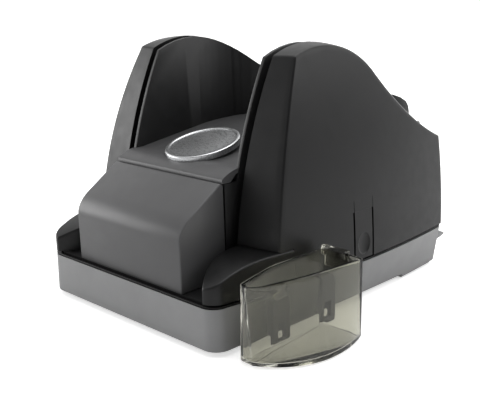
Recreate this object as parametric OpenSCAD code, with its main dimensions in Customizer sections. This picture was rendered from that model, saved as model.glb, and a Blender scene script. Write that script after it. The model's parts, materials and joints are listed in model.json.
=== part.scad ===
// Desktop cheque scanner with a horseshoe document path.
// The two legs of the path stand in a right and a left tower; the document stands on its long edge.
// Machine frame: X across, mirror plane at X = 0; Y from front to back, 0 at the turn's axis; Z up.

/* [Body] */
// Half of the widest width, at the seam
half_w = 78; // [76:0.5:84]
// From the turn's axis to the front of the base
front_y = 95; // [92:0.5:104]
// From the turn's axis to the back of the covers
back_y = 95; // [93:0.5:102]
// Height of the towers' crest
tower_h = 143.5; // [138:0.5:150]
// Height of the track floor, which is the top of the deck
seam_z = 26; // [26:0.25:28]
// Thickness of the covers
wall = 2.4; // [1.8:0.1:3]
// Plan radius of the sides
side_r = 590; // [500:10:900]
// Upright radius of the cover's sides
barrel_r = 430; // [380:10:700]

/* [Document path] */
// Radius of the path's centre line round the turn
path_r = 45.85; // [45:0.05:46.5]
// Width of the document slot
slot_w = 4.5; // [4:0.1:5]
// Thickness of the guide walls
guide_t = 2; // [1.6:0.1:2.4]
// Radius of the flared mouth at the entry
mouth_r = 50; // [45:1:60]

/* [Tower outline] */
// Most forward point of the towers' front edge, from the turn's axis
tower_front = 58.7; // [56:0.1:60]
// Radius of the front edge
front_r = 260; // [240:5:320]
// Crest, from the turn's axis towards the front
crest_y = 3; // [1:0.5:5]
// Radius of the top in front of the crest
brow_r = 62; // [56:1:70]
// Radius of the top behind the crest
crest_r = 47; // [44:0.5:50]
// Slope at which the top turns hollow
tail_a = 50; // [48:0.5:52]
// Radius of the hollow tail
tail_r = 157; // [150:1:165]
// Angle of the front bevel in plan
bevel_a = 8; // [5:0.5:10]

/* [Base] */
// Taper of the tray on each side, from its rim to its bottom
base_in = 7; // [6:0.5:9]
// Height of the feet
foot_h = 2.5; // [2:0.1:3]
// Radius of a foot
foot_r = 6.5; // [5:0.5:8]
// Thickness of the tray's floor and walls
tray_t = 2.5; // [2:0.1:3]
// Thickness of the deck
deck_t = 3; // [2.5:0.1:3.5]
// Reach of the connector hood behind the covers
hood_out = 8; // [6:0.5:10]

/* [Centre block] */
// Radius of the badge
badge_r = 21.5; // [18:0.5:23]
// Thickness of the badge
badge_t = 3.2; // [2.5:0.1:4]
// Tilt of the badge
badge_a = 13.5; // [10:0.5:16]
// Slope of the valley floor
valley_a = 7.5; // [6:0.5:9]
// Height of the valley floor above the turn's axis
valley_z = 90; // [88:0.5:92]

/* [Transport] */
// Radius of the drive rollers
drive_r = 9; // [8:0.1:10]
// Radius of the pinch rollers
pinch_r = 6; // [5.5:0.1:6.5]
// Height of the rollers
roller_h = 18; // [14:0.5:20]
// Radius of the drive shafts
shaft_r = 2.5; // [2:0.1:3]
// Pitch radius of the shaft pulleys
pulley_r = 7; // [6:0.1:8]
// Pitch radius of the motor pulley
motor_pulley_r = 5; // [4.5:0.1:6]
// Height of the belt
belt_h = 5; // [4:0.5:5]
// Radius of the motor
motor_r = 17; // [15:0.5:18]
// Height of the motor
motor_h = 26; // [20:1:30]

/* [Latch] */
// Width of the latch tongue
tongue_w = 14.8; // [12:0.2:18]
// Height of the latch tongue
tongue_h = 27; // [22:0.5:30]
// Width of the slits beside the tongue
slit_w = 1.3; // [0.8:0.1:1.6]

/* [Side pocket] */
// Height of the pocket
pocket_h = 42; // [36:0.5:46]
// Reach of the pocket from the mirror plane
pocket_x = 111; // [108:0.5:114]
// Length of the pocket at its rim
pocket_l = 67; // [62:0.5:67]
// Thickness of the pocket's walls
pocket_t = 1.8; // [1.4:0.1:2.4]
// Width of a bracket
bracket_w = 12; // [10:0.5:14]

/* [Rear cover] */
// Front edge of the rear cover, behind the turn's outer guide
rear_gap = 0.6; // [0.4:0.1:1]
// Width of the side cover's strip beside the rear cover
rear_side = 14; // [13:0.5:16]
// Distance of the hinge from the turn's axis
hinge_y = 78; // [76:0.5:80]
// Radius of the hinge knuckles
knuckle_r = 3.2; // [3:0.1:3.6]
// Radius of the hinge pin
pin_r = 1.2; // [1:0.1:1.4]

/* [Fits] */
// Gap between neighbouring pieces
gap = 0.3; // [0.25:0.05:0.4]
// Radial clearance of a running fit
run = 0.05; // [0.02:0.01:0.08]
// Height of the dark seam above the base
seam_gap = 0.9; // [0.6:0.1:0.95]

/* [Hidden] */
$fn = 64;

// Path
inner_r = path_r - slot_w / 2;
outer_r = path_r + slot_w / 2;
guide_in = inner_r - guide_t;
guide_out = outer_r + guide_t;
// Widest place of the sides, in Y
side_y = 10;
base_half_w = half_w - base_in;
tray_in = 1.5;
far = 200;
// Back of the tray at its rim, its corner radius there and how far its bottom draws in towards the back
tray_y = back_y;
back_r = 4;
tuck = 2;
// Height at which the towers' front edge is upright
front_z = 16.3;
// Bottom edge of the covers
cover_z = seam_z + seam_gap - 0.4;
// Top edge of the tray's wall
rim_z = seam_z - 0.4;
// Noses at the front
nose_z = seam_z + 18.5;
nose_back = -44;
nose_flat = -60;
nose_top_r = 68;
corner_r = 9;
// Centre block
valley_front = -52;
lip_y = -62;
lip_z = seam_z + 53.2;
fascia_y = -92;
// Transport
nip = 0.3;
drive_off = path_r - nip / 2 - drive_r;
pinch_off = path_r + nip / 2 + pinch_r;
leg_y = -40;
motor_y = -62;
roller_z = seam_z + 7;
belt_z = seam_z - 11;
arm_t = 2;
arm_w = 5.2;
arm_l = 14.4222;
arm_x = min(0.40134 * (half_w - outer_r), 0.95 * arm_l);
arm_pivot = [arm_x, sqrt(arm_l * arm_l - arm_x * arm_x)];
axle_r = 1.5;
pivot_r = 2;
// Centres of the towers' brow, crest and hollow tail, in Y and Z
brow_c = [-crest_y, tower_h - brow_r];
crest_c = [-crest_y, tower_h - crest_r];
tail_c = crest_c + (crest_r + tail_r) * [sin(tail_a), cos(tail_a)];
// Rear
rear_front = guide_out + rear_gap;
rear_half_w = half_w - rear_side;
ear_in = rear_half_w - 24;
ear_out = ear_in + 9.7;
hinge_z = top_z(hinge_y) - 1.4;
// Pocket
pocket_in = half_w + 1.8;
pocket_back = -27.5;
pocket_floor = 0.8;
clip_l = 16.6;
bracket_y = [-59.3, -22.3];
// Box of the whole object, for the origin at its middle
machine_x = -(pocket_x - half_w) / 2;
machine_y = -(back_y + hood_out - max(front_y, pocket_l - pocket_back)) / 2;

// Plan curve of the sides
function side_x(y) = half_w - side_r + sqrt(side_r * side_r - pow(y - side_y, 2));
// Front edge of the towers, at a height
function front_edge(z) = -tower_front + front_r - sqrt(front_r * front_r - pow(z - front_z, 2));
// Points of an arc in plan, from angle a to angle b
function arc(c, r, a, b, n) = [for (i = [0:n]) let (t = a + (b - a) * i / n) c + r * [cos(t), sin(t)]];

// Towers' side outline in Y and Z: brow, crest and hollow tail, d inside the surface
function top_z(y) = tail_c[1] - sqrt(tail_r * tail_r - pow(tail_c[0] - y, 2));
function tail_end(d, y) = asin((tail_c[0] - y) / (tail_r + d));
function outline(d, y_back) = concat(
    arc(brow_c, brow_r - d, 140, 90, 8),
    arc(crest_c, crest_r - d, 82, 90 - tail_a, 7),
    [for (i = [1:9]) let (t = tail_a + (tail_end(d, y_back) - tail_a) * i / 9)
        tail_c - (tail_r + d) * [sin(t), cos(t)]]
);

// Puts a piece of the machine into the object's frame
module machine() {
    translate([machine_x, machine_y, 0]) children();
}

// Extrudes an outline drawn in Y and Z along X, from x0 to x1
module along_x(x0, x1) {
    translate([x0, 0, 0]) rotate([90, 0, 90]) linear_extrude(x1 - x0) children();
}

// Cylinder along X, at y and z
module rod_x(x0, x1, y, z, r) {
    translate([x0, y, z]) rotate([0, 90, 0]) cylinder(r = r, h = x1 - x0);
}

// Side silhouette of the towers, d inside the surface, from height z0 up
module tower_outline(d, z0, y_back) {
    polygon(concat([[-far, z0], [-far, brow_c[1]]], outline(d, y_back), [[y_back, z0]]));
}

// Drum that rounds the towers' front edge
module front_drum(d, a) {
    translate([outer_r, -tower_front, front_z]) rotate([0, 0, a]) translate([0, front_r, 0])
        rotate([0, 90, 0]) cylinder(r = front_r - d, h = 2 * far, center = true, $fn = 360);
}

// Barrel that rounds the covers' sides, d inside the surface
module side_barrel(d) {
    rise = tower_h + 10 - seam_z;
    core = side_r - far;
    translate([half_w - side_r, side_y, 0]) rotate([0, 0, -15])
        rotate_extrude(angle = 30, $fn = 720)
            polygon(concat([[core, 0], [side_r - d, 0]],
                [for (i = [0:9]) let (h = rise * i / 9)
                    [side_r - d - barrel_r + sqrt(barrel_r * barrel_r - h * h), seam_z + h]],
                [[core, seam_z + rise]]));
}

// Full form of the right tower, d inside the surface
module tower_form(d, z0, x_in) {
    intersection() {
        along_x(x_in, half_w + 5) tower_outline(d, z0, back_y - d);
        side_barrel(d);
        front_drum(d, bevel_a);
    }
}

// Half width of the base: curved like the covers at the rim, nearly straight at the bottom
function base_x(y, straight) = straight ? base_half_w - tuck * pow(max(0, y) / back_y, 2) : side_x(y);
// Plan outline of the base, d inside, from the front to the back
module base_plan(d, straight, y_front, y_back) {
    rf = corner_r - d;
    rb = max(0.4, back_r - d);
    w = [for (i = [0:8]) let (y = y_front + rf + (y_back - rb - y_front - rf) * i / 8)
        [base_x(y, straight) - d, y]];
    right = concat(arc([w[0][0] - rf, w[0][1]], rf, -90, 0, 6), w,
        arc([w[8][0] - rb, w[8][1]], rb, 0, 90, 6));
    n = len(right);
    polygon(concat(right, [for (i = [1:n]) [-right[n - i][0], right[n - i][1]]]));
}

// Place of the tray's back wall at a height
function tray_back(z) = tray_y - tray_in * (rim_z - z) / (rim_z - foot_h);

// Space taken by the tray, d inside the surface, between two heights of its draft
module tray_form(d, z0, z1) {
    hull() {
        translate([0, 0, z0]) linear_extrude(0.01)
            base_plan(d, true, -front_y + d, tray_back(z0) - d);
        translate([0, 0, z1 - 0.01]) linear_extrude(0.01)
            base_plan(d, false, -front_y + d, tray_back(rim_z) - d);
    }
}

// Low skirts under the rear of the side walls
module rear_skirts() {
    y0 = back_y - 38.5;
    y1 = back_y - 8;
    intersection() {
        along_x(-half_w, half_w) polygon([[y0, foot_h + 0.5], [y0, foot_h - 1.6],
            [y1, foot_h - 0.4], [y1, foot_h + 0.5]]);
        linear_extrude(foot_h + 1) difference() {
            base_plan(0.1, true, -front_y, tray_back(foot_h));
            base_plan(tray_t + 1.5, true, -front_y, tray_back(foot_h));
        }
    }
}

// Four places at the tray's corners
module at_corners(x, y0, y1) {
    for (sx = [-1, 1])
        for (y = [y0, y1])
            translate([sx * x, y, 0]) children();
}

// Screws that hold the deck on four bosses, and posts under the board
screw_x = base_half_w - 11;
screw_y = [-26, back_y - 29];
screw_r = 1.5;
head_r = 2.8;
boss_r = 4.6;
post_r = 3;
post_h = 13;
post_x = base_half_w - 23;
post_y = [back_y - 39, back_y - 15];
board_z = foot_h + tray_t + post_h;
// Sockets: left edge, width, height and depth
power_at = -29.7;
power_w = 9;
data_at = 8.3;
data_w = 12;
socket_h = 9;
socket_l = 15;
socket_z = foot_h + tray_t + 0.7;
socket_y = tray_y - 17.5;
module socket_hole(x, w) {
    translate([x - gap, socket_y + socket_l - 7, socket_z - gap])
        cube([w + 2 * gap, far, socket_h + 2 * gap]);
}
module base_tray() {
    color([0.30, 0.30, 0.31]) machine() difference() {
        union() {
            difference() {
                tray_form(0, foot_h, rim_z);
                intersection() {
                    tray_form(tray_t, foot_h, rim_z + 0.1);
                    translate([-far, -far, foot_h + tray_t]) cube([2 * far, 2 * far, seam_z]);
                }
            }
            at_corners(screw_x, screw_y[0], screw_y[1])
                translate([0, 0, foot_h + 1]) cylinder(r = boss_r, h = seam_z - deck_t - foot_h - 1);
            at_corners(post_x, post_y[0], post_y[1])
                translate([0, 0, foot_h + tray_t]) cylinder(r = post_r, h = post_h);
            rear_skirts();
        }
        at_corners(screw_x, screw_y[0], screw_y[1]) {
            cylinder(r = screw_r + 0.2, h = seam_z);
            cylinder(r = head_r + gap, h = foot_h + 3);
        }
        socket_hole(power_at, power_w);
        socket_hole(data_at, data_w);
    }
}

module rubber_feet() {
    places = [[base_half_w - 13.5, -front_y + 19], [base_half_w - 13.5, back_y - 50]];
    color([0.08, 0.08, 0.08]) machine() for (p = places)
        for (sx = [-1, 1])
            translate([sx * p[0], p[1], 0]) cylinder(r = foot_r, h = foot_h);
}

// Shaft places: entry, turn and exit
shaft_at = [[drive_off, leg_y], [0, drive_off], [-drive_off, leg_y]];
bush_r = shaft_r + 1.2;

// Inset of the deck from the tray's rim, which clears the tray's draft
deck_in = tray_t + gap + max(base_in, tray_in) * (rim_z - seam_z + deck_t) / (rim_z - foot_h) + 0.2;
module deck() {
    color([0.12, 0.12, 0.12]) machine() difference() {
        translate([0, 0, seam_z - deck_t]) linear_extrude(deck_t) difference() {
            base_plan(deck_in, false, -front_y + deck_in, tray_y - deck_in);
            for (sx = [-1, 1])
                translate([sx * (half_w - 5) - 4, side_y - tongue_w / 2 - 1.4])
                    square([8, tongue_w + 2.8]);
        }
        for (p = shaft_at)
            translate([p[0], p[1], 0]) cylinder(r = bush_r + run, h = far);
        translate([0, motor_y, 0]) cylinder(r = shaft_r + 2, h = far);
        at_corners(screw_x, screw_y[0], screw_y[1]) cylinder(r = screw_r, h = seam_z - 0.8);
    }
}

module deck_screws() {
    color("silver") machine() at_corners(screw_x, screw_y[0], screw_y[1]) {
        translate([0, 0, foot_h + 0.6]) cylinder(r = head_r, h = 2.4);
        translate([0, 0, foot_h + 2]) cylinder(r = screw_r, h = seam_z - foot_h - 3);
    }
}

// Lip over the sockets at the back
module connector_hood() {
    tip = back_y + hood_out;
    low = board_z - 2.6;
    high = seam_z - 4.6;
    mid = (low + high) / 2;
    w = base_half_w - 2;
    color([0.16, 0.16, 0.17]) machine() along_x(-w, w)
        polygon([[tray_back(low) + 0.1, low], [tray_back(high) + 0.1, high], [tip - 1, mid],
            [tip, mid - 0.7], [tip - 0.6, mid - 1.5], [tray_y + 3, low + 0.4]]);
}

module main_board() {
    w = 2 * post_x + 14;
    color([0.05, 0.30, 0.14]) machine() translate([-w / 2, post_y[0] - 6, board_z])
        cube([w, post_y[1] - post_y[0] + 10, 1.6]);
}

module socket(x, w, mouth) {
    color([0.1, 0.1, 0.1]) machine() difference() {
        union() {
            translate([x, socket_y, socket_z]) cube([w, socket_l, socket_h]);
            translate([x, socket_y, socket_z]) cube([w, socket_l - 6, board_z - socket_z]);
        }
        translate([x + w / 2, socket_y + 6, socket_z + socket_h / 2]) rotate([-90, 0, 0])
            mouth_shape(mouth);
    }
}
module mouth_shape(kind) {
    if (kind == "round") difference() {
        cylinder(r = 3.2, h = 20);
        cylinder(r = 1, h = 8);
    }
    if (kind == "square") translate([-4.2, -3.9, 0]) difference() {
        cube([8.4, 7.8, 20]);
        translate([2, 2, 0]) cube([4.4, 3.8, 8]);
    }
}
module power_inlet() {
    socket(power_at, power_w, "round");
}
module usb_socket() {
    socket(data_at, data_w, "square");
}

// Horseshoe wall in plan, from radius r0 to r1, with legs to y
module horseshoe(r0, r1, y) {
    difference() {
        union() {
            circle(r = r1, $fn = 120);
            translate([-r1, y]) square([2 * r1, -y]);
        }
        circle(r = r0, $fn = 120);
        translate([-r0, y - 1]) square([2 * r0, 1 - y]);
    }
}

// Where the legs' walls start, in front of the towers
leg_start = -tower_front - 11.3;
// Windows in the guide walls where the rollers meet, with more room or less above and below
module roller_windows(half, room) {
    h = roller_h + 2 * room;
    z = roller_z - room;
    for (sx = [-1, 1])
        translate([sx * path_r - 7, leg_y - half, z]) cube([14, 2 * half, h]);
    translate([-half, path_r - 7, z]) cube([2 * half, 14, h]);
}

// Reading and marking parts: front edge, length and height beside the path
magnet_y = -30;
magnet_l = 5;
magnet_h = 15.6;
head_y = -24.9;
head_l = 10.8;
head_h = 15.4;
front_eye_y = -11;
front_eye_l = 12;
front_eye_h = tower_h - 46.5;
eye_t = 0.3 * (half_w - outer_r);
back_eye_y = -21;
back_eye_l = 13;
back_eye_h = valley_z - 36;
nozzle_z = seam_z + 20;
module inner_guide() {
    window = drive_r - 0.3;
    color([0.10, 0.10, 0.10]) machine() difference() {
        union() {
            intersection() {
                linear_extrude(far) horseshoe(guide_in, inner_r, leg_start);
                along_x(-half_w, half_w) tower_outline(0.4, seam_z, back_y);
                front_drum(0, 0);
            }
            for (sx = [-1, 1])
                translate([sx > 0 ? guide_in : -inner_r, lip_y + 1.6, seam_z])
                    cube([guide_t, 20, lip_z - seam_z - wall - 0.4]);
        }
        roller_windows(window, 1.5);
        translate([inner_r - 4, magnet_y - 0.2, seam_z - 1]) cube([8, magnet_l + 0.4, magnet_h + 1.4]);
        translate([-inner_r - 4, back_eye_y - 0.2, seam_z + 1])
            cube([8, back_eye_l + 0.4, back_eye_h + 1]);
    }
}

module outer_guide() {
    color([0.09, 0.09, 0.09]) machine() difference() {
        union() {
            intersection() {
                linear_extrude(far) horseshoe(outer_r, guide_out, leg_start);
                along_x(-half_w, half_w) tower_outline(wall + gap, seam_z, back_y);
                translate([0, wall + 3 * gap, 0]) front_drum(0, 0);
                union() {
                    translate([-far, nose_back + gap, 0]) cube([2 * far, far, far]);
                    translate([-far, -far, nose_z + gap]) cube([2 * far, far, far]);
                }
            }
            intersection() {
                linear_extrude(far) difference() {
                    union() {
                        circle(r = guide_out, $fn = 120);
                        translate([-bridge_w + gap, 0])
                            square([2 * bridge_w - 2 * gap, rear_front - gap]);
                    }
                    circle(r = outer_r, $fn = 120);
                    translate([-far, -far]) square([2 * far, far + gap]);
                }
                difference() {
                    along_x(-half_w, half_w) tower_outline(0, seam_z, back_y);
                    along_x(-half_w - 1, half_w + 1) tower_outline(wall + 2 * gap, 0, back_y + 1);
                }
            }
        }
        roller_windows(pinch_r + 2, arm_t + gap + 1);
        translate([outer_r - 3, head_y - 0.3, seam_z + 1]) cube([8, head_l + 0.6, head_h + 0.6]);
        translate([outer_r - 3, front_eye_y - 0.2, seam_z + 0.9])
            cube([8, front_eye_l + 0.4, front_eye_h + 1]);
        rotate([0, 0, 120]) translate([outer_r - 3, -6, nozzle_z]) cube([8, 12, 22]);
    }
}

// Valley floor between the guides, and the platform lip in front of it
function valley(y) = valley_z + y * tan(valley_a);
module centre_cover() {
    front = valley(valley_front);
    seat = [0, -34.8, valley(-34.8) + 0.9];
    color([0.13, 0.13, 0.13]) machine() difference() {
        union() {
            intersection() {
                along_x(-guide_in, guide_in) polygon([[valley_front, front - wall], [valley_front, front],
                    [guide_out, valley(guide_out)], [guide_out, valley(guide_out) - wall]]);
                linear_extrude(far) union() {
                    circle(r = guide_in - gap / 2, $fn = 120);
                    translate([-guide_in + gap / 2, leg_start]) square([2 * guide_in - gap, -leg_start]);
                }
            }
            along_x(-inner_r, inner_r) polygon([[lip_y, lip_z - wall], [lip_y, lip_z - 0.8],
                [lip_y + 0.6, lip_z + 0.2], [lip_y + 5, lip_z + 2.9], [valley_front, front],
                [valley_front, front - wall], [lip_y + 6, lip_z - wall]]);
        }
        translate(seat) rotate([badge_a, 0, 0]) cylinder(r = badge_r + gap / 2, h = 20);
    }
}

module badge() {
    seat = [0, -34.8, valley(-34.8) + 0.9];
    color([0.78, 0.79, 0.80]) machine() translate(seat) rotate([badge_a, 0, 0])
        rotate_extrude($fn = 96) polygon([[0, 0], [badge_r, 0], [badge_r, badge_t - 0.7],
            [badge_r - 0.7, badge_t], [badge_r - 2.2, badge_t], [badge_r - 3, badge_t - 0.5],
            [0, badge_t - 0.5]]);
}

// Apron that slopes from the platform lip to the front
module front_fascia() {
    top = [lip_y + 0.8, lip_z - wall - 0.5];
    knee = [fascia_y + 4, seam_z + 35];
    color([0.15, 0.15, 0.155]) machine() difference() {
        along_x(-inner_r, inner_r) polygon([[fascia_y, seam_z], [fascia_y, knee[1] - 5],
            [fascia_y + 1, knee[1] - 2.2], knee, [lip_y - 1.5, lip_z - 1.6], top, [top[0], seam_z]]);
        along_x(-inner_r + guide_t, inner_r - guide_t) polygon([[fascia_y + wall, seam_z - 1],
            [fascia_y + wall, knee[1] - 6], knee + [1, -wall - 0.8], top + [-1.5, -wall - 0.6],
            top + [5, -wall - 0.6], [top[0] + 5, seam_z - 1]]);
    }
}

// Rounded guide at the front of a leg; its inner face flares to an open mouth
module nose() {
    flare = acos(1 - 0.4533 * (half_w - outer_r) / mouth_r);
    x0 = outer_r;
    y_c = -front_y + corner_r;
    corner = [side_x(y_c) - corner_r, y_c];
    sides = [for (i = [0:6]) let (y = y_c + (nose_back - y_c) * i / 6) [side_x(y), y]];
    difference() {
        nose_block(flare, x0, corner, sides);
        translate([pinch_at[0], pinch_at[1], fork_z - 1]) cylinder(r = pinch_r + 2.6, h = far);
    }
}
module nose_block(flare, x0, corner, sides) {
    intersection() {
        translate([0, 0, seam_z]) linear_extrude(40) polygon(concat(
            [[x0, nose_back]],
            [for (p = arc([x0 + mouth_r, nose_flat], mouth_r, 180, 180 + flare, 10))
                if (p[1] > -front_y) p],
            arc(corner, corner_r, -90, 0, 6), sides));
        along_x(outer_r - 5, half_w + 5) polygon(concat(
            [[nose_back, seam_z], [nose_back, nose_z]],
            [for (p = arc([nose_flat, nose_z - nose_top_r], nose_top_r, 90, 118, 8)) p],
            [[-front_y, seam_z + 9.2], [-front_y, seam_z + seam_gap], [-front_y + 1.6, seam_z + seam_gap],
                [-front_y + 1.6, seam_z]]));
        union() {
            translate([0, -far, seam_z + seam_gap]) cube([far, 2 * far, far]);
            translate([outer_r, -front_y + 1.6, seam_z])
                cube([0.6 * (half_w - outer_r), front_y + nose_back + 9.4, 2]);
        }
    }
}
module entry_nose() {
    color([0.11, 0.11, 0.11]) machine() nose();
}
module exit_nose() {
    color([0.11, 0.11, 0.11]) machine() mirror([1, 0, 0]) nose();
}

// What the covers leave free in plan: the legs, the turn and the bridge behind the turn
bridge_w = 20;
module path_side() {
    translate([-far, -far]) square([outer_r + far, far]);
    translate([-far, -1]) square([bridge_w + far, far]);
    intersection() {
        circle(r = guide_out + gap, $fn = 120);
        translate([-far, 0]) square([2 * far, far]);
    }
}

// Side covers: thin shells, open below and towards the path
module cover() {
    y0 = side_y - tongue_w / 2 - slit_w;
    difference() {
        union() {
            difference() {
                tower_form(0, cover_z, 0);
                tower_form(wall, cover_z - 1, -10);
            }
            for (y = [-28, rear_front - gap - wall])
                translate([half_w - 10, y, seam_z + gap]) cube([side_x(y) - half_w + 8.8, wall, 14]);
        }
        linear_extrude(far) path_side();
        translate([0, -far, 0]) cube([far, far + nose_back + gap, nose_z + gap]);
        translate([0, rear_front - gap, 0]) cube([rear_half_w + gap, far, far]);
        translate([half_w - 18, y0, 0]) cube([30, tongue_w + 2 * slit_w, seam_z + 1 + tongue_h]);
    }
}
module right_cover() {
    color([0.14, 0.14, 0.145]) machine() cover();
}
module left_cover() {
    color([0.14, 0.14, 0.145]) machine() mirror([1, 0, 0]) cover();
}

// Snap tongue with a finger dimple and a toe inside the tray
module latch() {
    y0 = side_y - tongue_w / 2;
    z0 = cover_z + 0.4;
    x = half_w;
    dimple_r = 15.4;
    difference() {
        union() {
            intersection() {
                difference() {
                    side_barrel(0);
                    side_barrel(wall);
                }
                translate([half_w - 18, y0, z0]) cube([30, tongue_w, seam_z + 1 + tongue_h - gap - z0]);
            }
            translate([x - 5.5, y0 + 2, seam_z - 4]) cube([1.4, tongue_w - 4, 8]);
            translate([x - 4.5, y0 + 2, seam_z + 2]) cube([2.9, tongue_w - 4, 2]);
        }
        translate([x + dimple_r - 1, side_y, z0 + 8.5]) sphere(r = dimple_r, $fn = 96);
    }
}
module right_latch() {
    color([0.15, 0.15, 0.155]) machine() latch();
}
module left_latch() {
    color([0.15, 0.15, 0.155]) machine() mirror([1, 0, 0]) latch();
}

// Fixed rear housing: back wall, tail of the top and two cheeks
module rear_housing() {
    w = rear_half_w - gap;
    color([0.12, 0.12, 0.125]) machine() difference() {
        union() {
            along_x(-w, w) polygon(concat([[hinge_y - 0.4, top_z(hinge_y) - wall - 2.6]],
                [for (i = [0:6])
                    let (y = hinge_y - 0.4 + (back_y - hinge_y + 0.4) * i / 6) [y, top_z(y)]],
                [[back_y, seam_z], [back_y - wall - 2, seam_z],
                    [back_y - wall - 2, top_z(back_y) - wall - 2.6]]));
            for (sx = [-1, 1])
                along_x(sx > 0 ? w - wall : -w, sx > 0 ? w : -w + wall)
                    polygon(concat([[rear_front + 0.3, seam_z],
                        [rear_front + 0.3, top_z(rear_front) - wall - 2]],
                        [for (f = [0.33, 0.63, 1])
                            let (y = rear_front + (hinge_y - rear_front) * f) [y, top_z(y) - wall - 1]],
                        [[back_y - 1, top_z(back_y) - 3], [back_y - 1, seam_z]]));
        }
        rod_x(-w - 1, w + 1, hinge_y, hinge_z, knuckle_r + 0.5);
        translate([-w + wall, rear_front, seam_z - 1])
            cube([2 * w - 2 * wall, back_y - wall - rear_front, top_z(back_y) - wall - seam_z - 4]);
    }
    color([0.12, 0.12, 0.125]) machine() for (sx = [-1, 1]) hinge_ear(sx, ear_in, ear_out);
}

// One knuckle on a tab, on the fixed side or on the cover
module hinge_ear(sx, x0, x1) {
    a = sx > 0 ? x0 : -x1;
    b = sx > 0 ? x1 : -x0;
    difference() {
        union() {
            rod_x(a, b, hinge_y, hinge_z, knuckle_r);
            along_x(a, b) polygon([[hinge_y, hinge_z - knuckle_r + 0.2], [hinge_y, hinge_z + 1],
                [hinge_y + knuckle_r + 1.6, top_z(hinge_y + knuckle_r + 1.6)],
                [hinge_y + knuckle_r + 1.6, hinge_z - knuckle_r + 0.2]]);
        }
        rod_x(a - 1, b + 1, hinge_y, hinge_z, pin_r);
    }
}

// Finger tab: distances behind the cover's front edge and heights above the cover
function tab_outline() = [for (p = [[2.3, -0.5], [2.7, 3.71], [9.9, 6.9], [15.3, 7.78], [17.7, 6.25],
    [18.5, 3.36], [18.5, -0.5], [10.3, -0.5]]) [rear_front + p[0], top_z(rear_front + p[0]) + p[1]]];

// Web from the rear cover to its knuckles
module hinge_web() {
    polygon([[hinge_y - 6, top_z(hinge_y - 6)], [hinge_y, hinge_z + 1],
        [hinge_y, hinge_z - 2.4], [hinge_y - 6, top_z(hinge_y - 6) - wall]]);
}

// Hinged rear cover with a finger tab at each side
module rear_cover() {
    w = rear_half_w;
    k = ear_out + 0.3;
    ys = [for (i = [0:7]) rear_front + (hinge_y - 0.9 - rear_front) * i / 7];
    color([0.15, 0.15, 0.155]) machine() difference() {
        union() {
            along_x(-w, w) polygon(concat([for (y = ys) [y, top_z(y)]],
                [for (i = [7:-1:0]) [ys[i], top_z(ys[i]) - wall]]));
            rod_x(-ear_in + 0.5, ear_in - 0.5, hinge_y, hinge_z, knuckle_r);
            along_x(-ear_in + 0.5, ear_in - 0.5) hinge_web();
            for (sx = [-1, 1]) {
                along_x(sx > 0 ? w - 10 : -w, sx > 0 ? w : -w + 10)
                    polygon(tab_outline());
                rod_x(sx > 0 ? k : -w, sx > 0 ? w : -k, hinge_y, hinge_z, knuckle_r);
                along_x(sx > 0 ? k : -w, sx > 0 ? w : -k) hinge_web();
            }
        }
        for (sx = [-1, 1]) {
            rod_x(sx > 0 ? ear_in - 0.5 : -k, sx > 0 ? k : 0.5 - ear_in,
                hinge_y, hinge_z, knuckle_r + 0.5);
            rod_x(sx > 0 ? ear_in - 2 : -w - 1, sx > 0 ? w + 1 : 2 - ear_in,
                hinge_y, hinge_z, pin_r + run);
        }
    }
}

module rear_hinge_pins() {
    color("silver") machine() for (sx = [-1, 1])
        rod_x(sx > 0 ? ear_in : 1 - rear_half_w, sx > 0 ? rear_half_w - 1 : -ear_in,
            hinge_y, hinge_z, pin_r);
}

// Motor on the deck; its shaft hangs through
module drive_motor() {
    color([0.35, 0.35, 0.36]) machine() translate([0, motor_y, seam_z]) difference() {
        union() {
            cylinder(r = motor_r, h = motor_h);
            translate([-motor_r - 4, -6, 0]) cube([2 * motor_r + 8, 12, 2]);
        }
        translate([0, 0, -1]) cylinder(r = shaft_r + run, h = 9);
    }
}
module motor_shaft() {
    color("silver") machine() translate([0, motor_y, belt_z - 1])
        cylinder(r = shaft_r, h = seam_z + 7 - belt_z + 1);
}

module pulley(p, r) {
    color([0.75, 0.75, 0.72]) machine() translate([p[0], p[1], belt_z - 1]) difference() {
        union() {
            cylinder(r = r, h = belt_h + 2);
            cylinder(r = r + 1.2, h = 0.7);
            translate([0, 0, belt_h + 1.3]) cylinder(r = r + 1.2, h = 0.7);
        }
        translate([0, 0, -1]) cylinder(r = shaft_r, h = 20);
    }
}
module motor_pulley() {
    pulley([0, motor_y], motor_pulley_r);
}
module entry_pulley() {
    pulley(shaft_at[0], pulley_r);
}
module turn_pulley() {
    pulley(shaft_at[1], pulley_r);
}
module exit_pulley() {
    pulley(shaft_at[2], pulley_r);
}

module belt_outline(d) {
    hull() {
        for (p = shaft_at) translate(p) circle(r = pulley_r + d, $fn = 48);
        translate([0, motor_y]) circle(r = motor_pulley_r + d, $fn = 48);
    }
}
module drive_belt() {
    color([0.06, 0.06, 0.06]) machine() translate([0, 0, belt_z]) linear_extrude(belt_h - 0.4)
        difference() {
            belt_outline(gap + 0.9);
            belt_outline(gap);
        }
}

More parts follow.
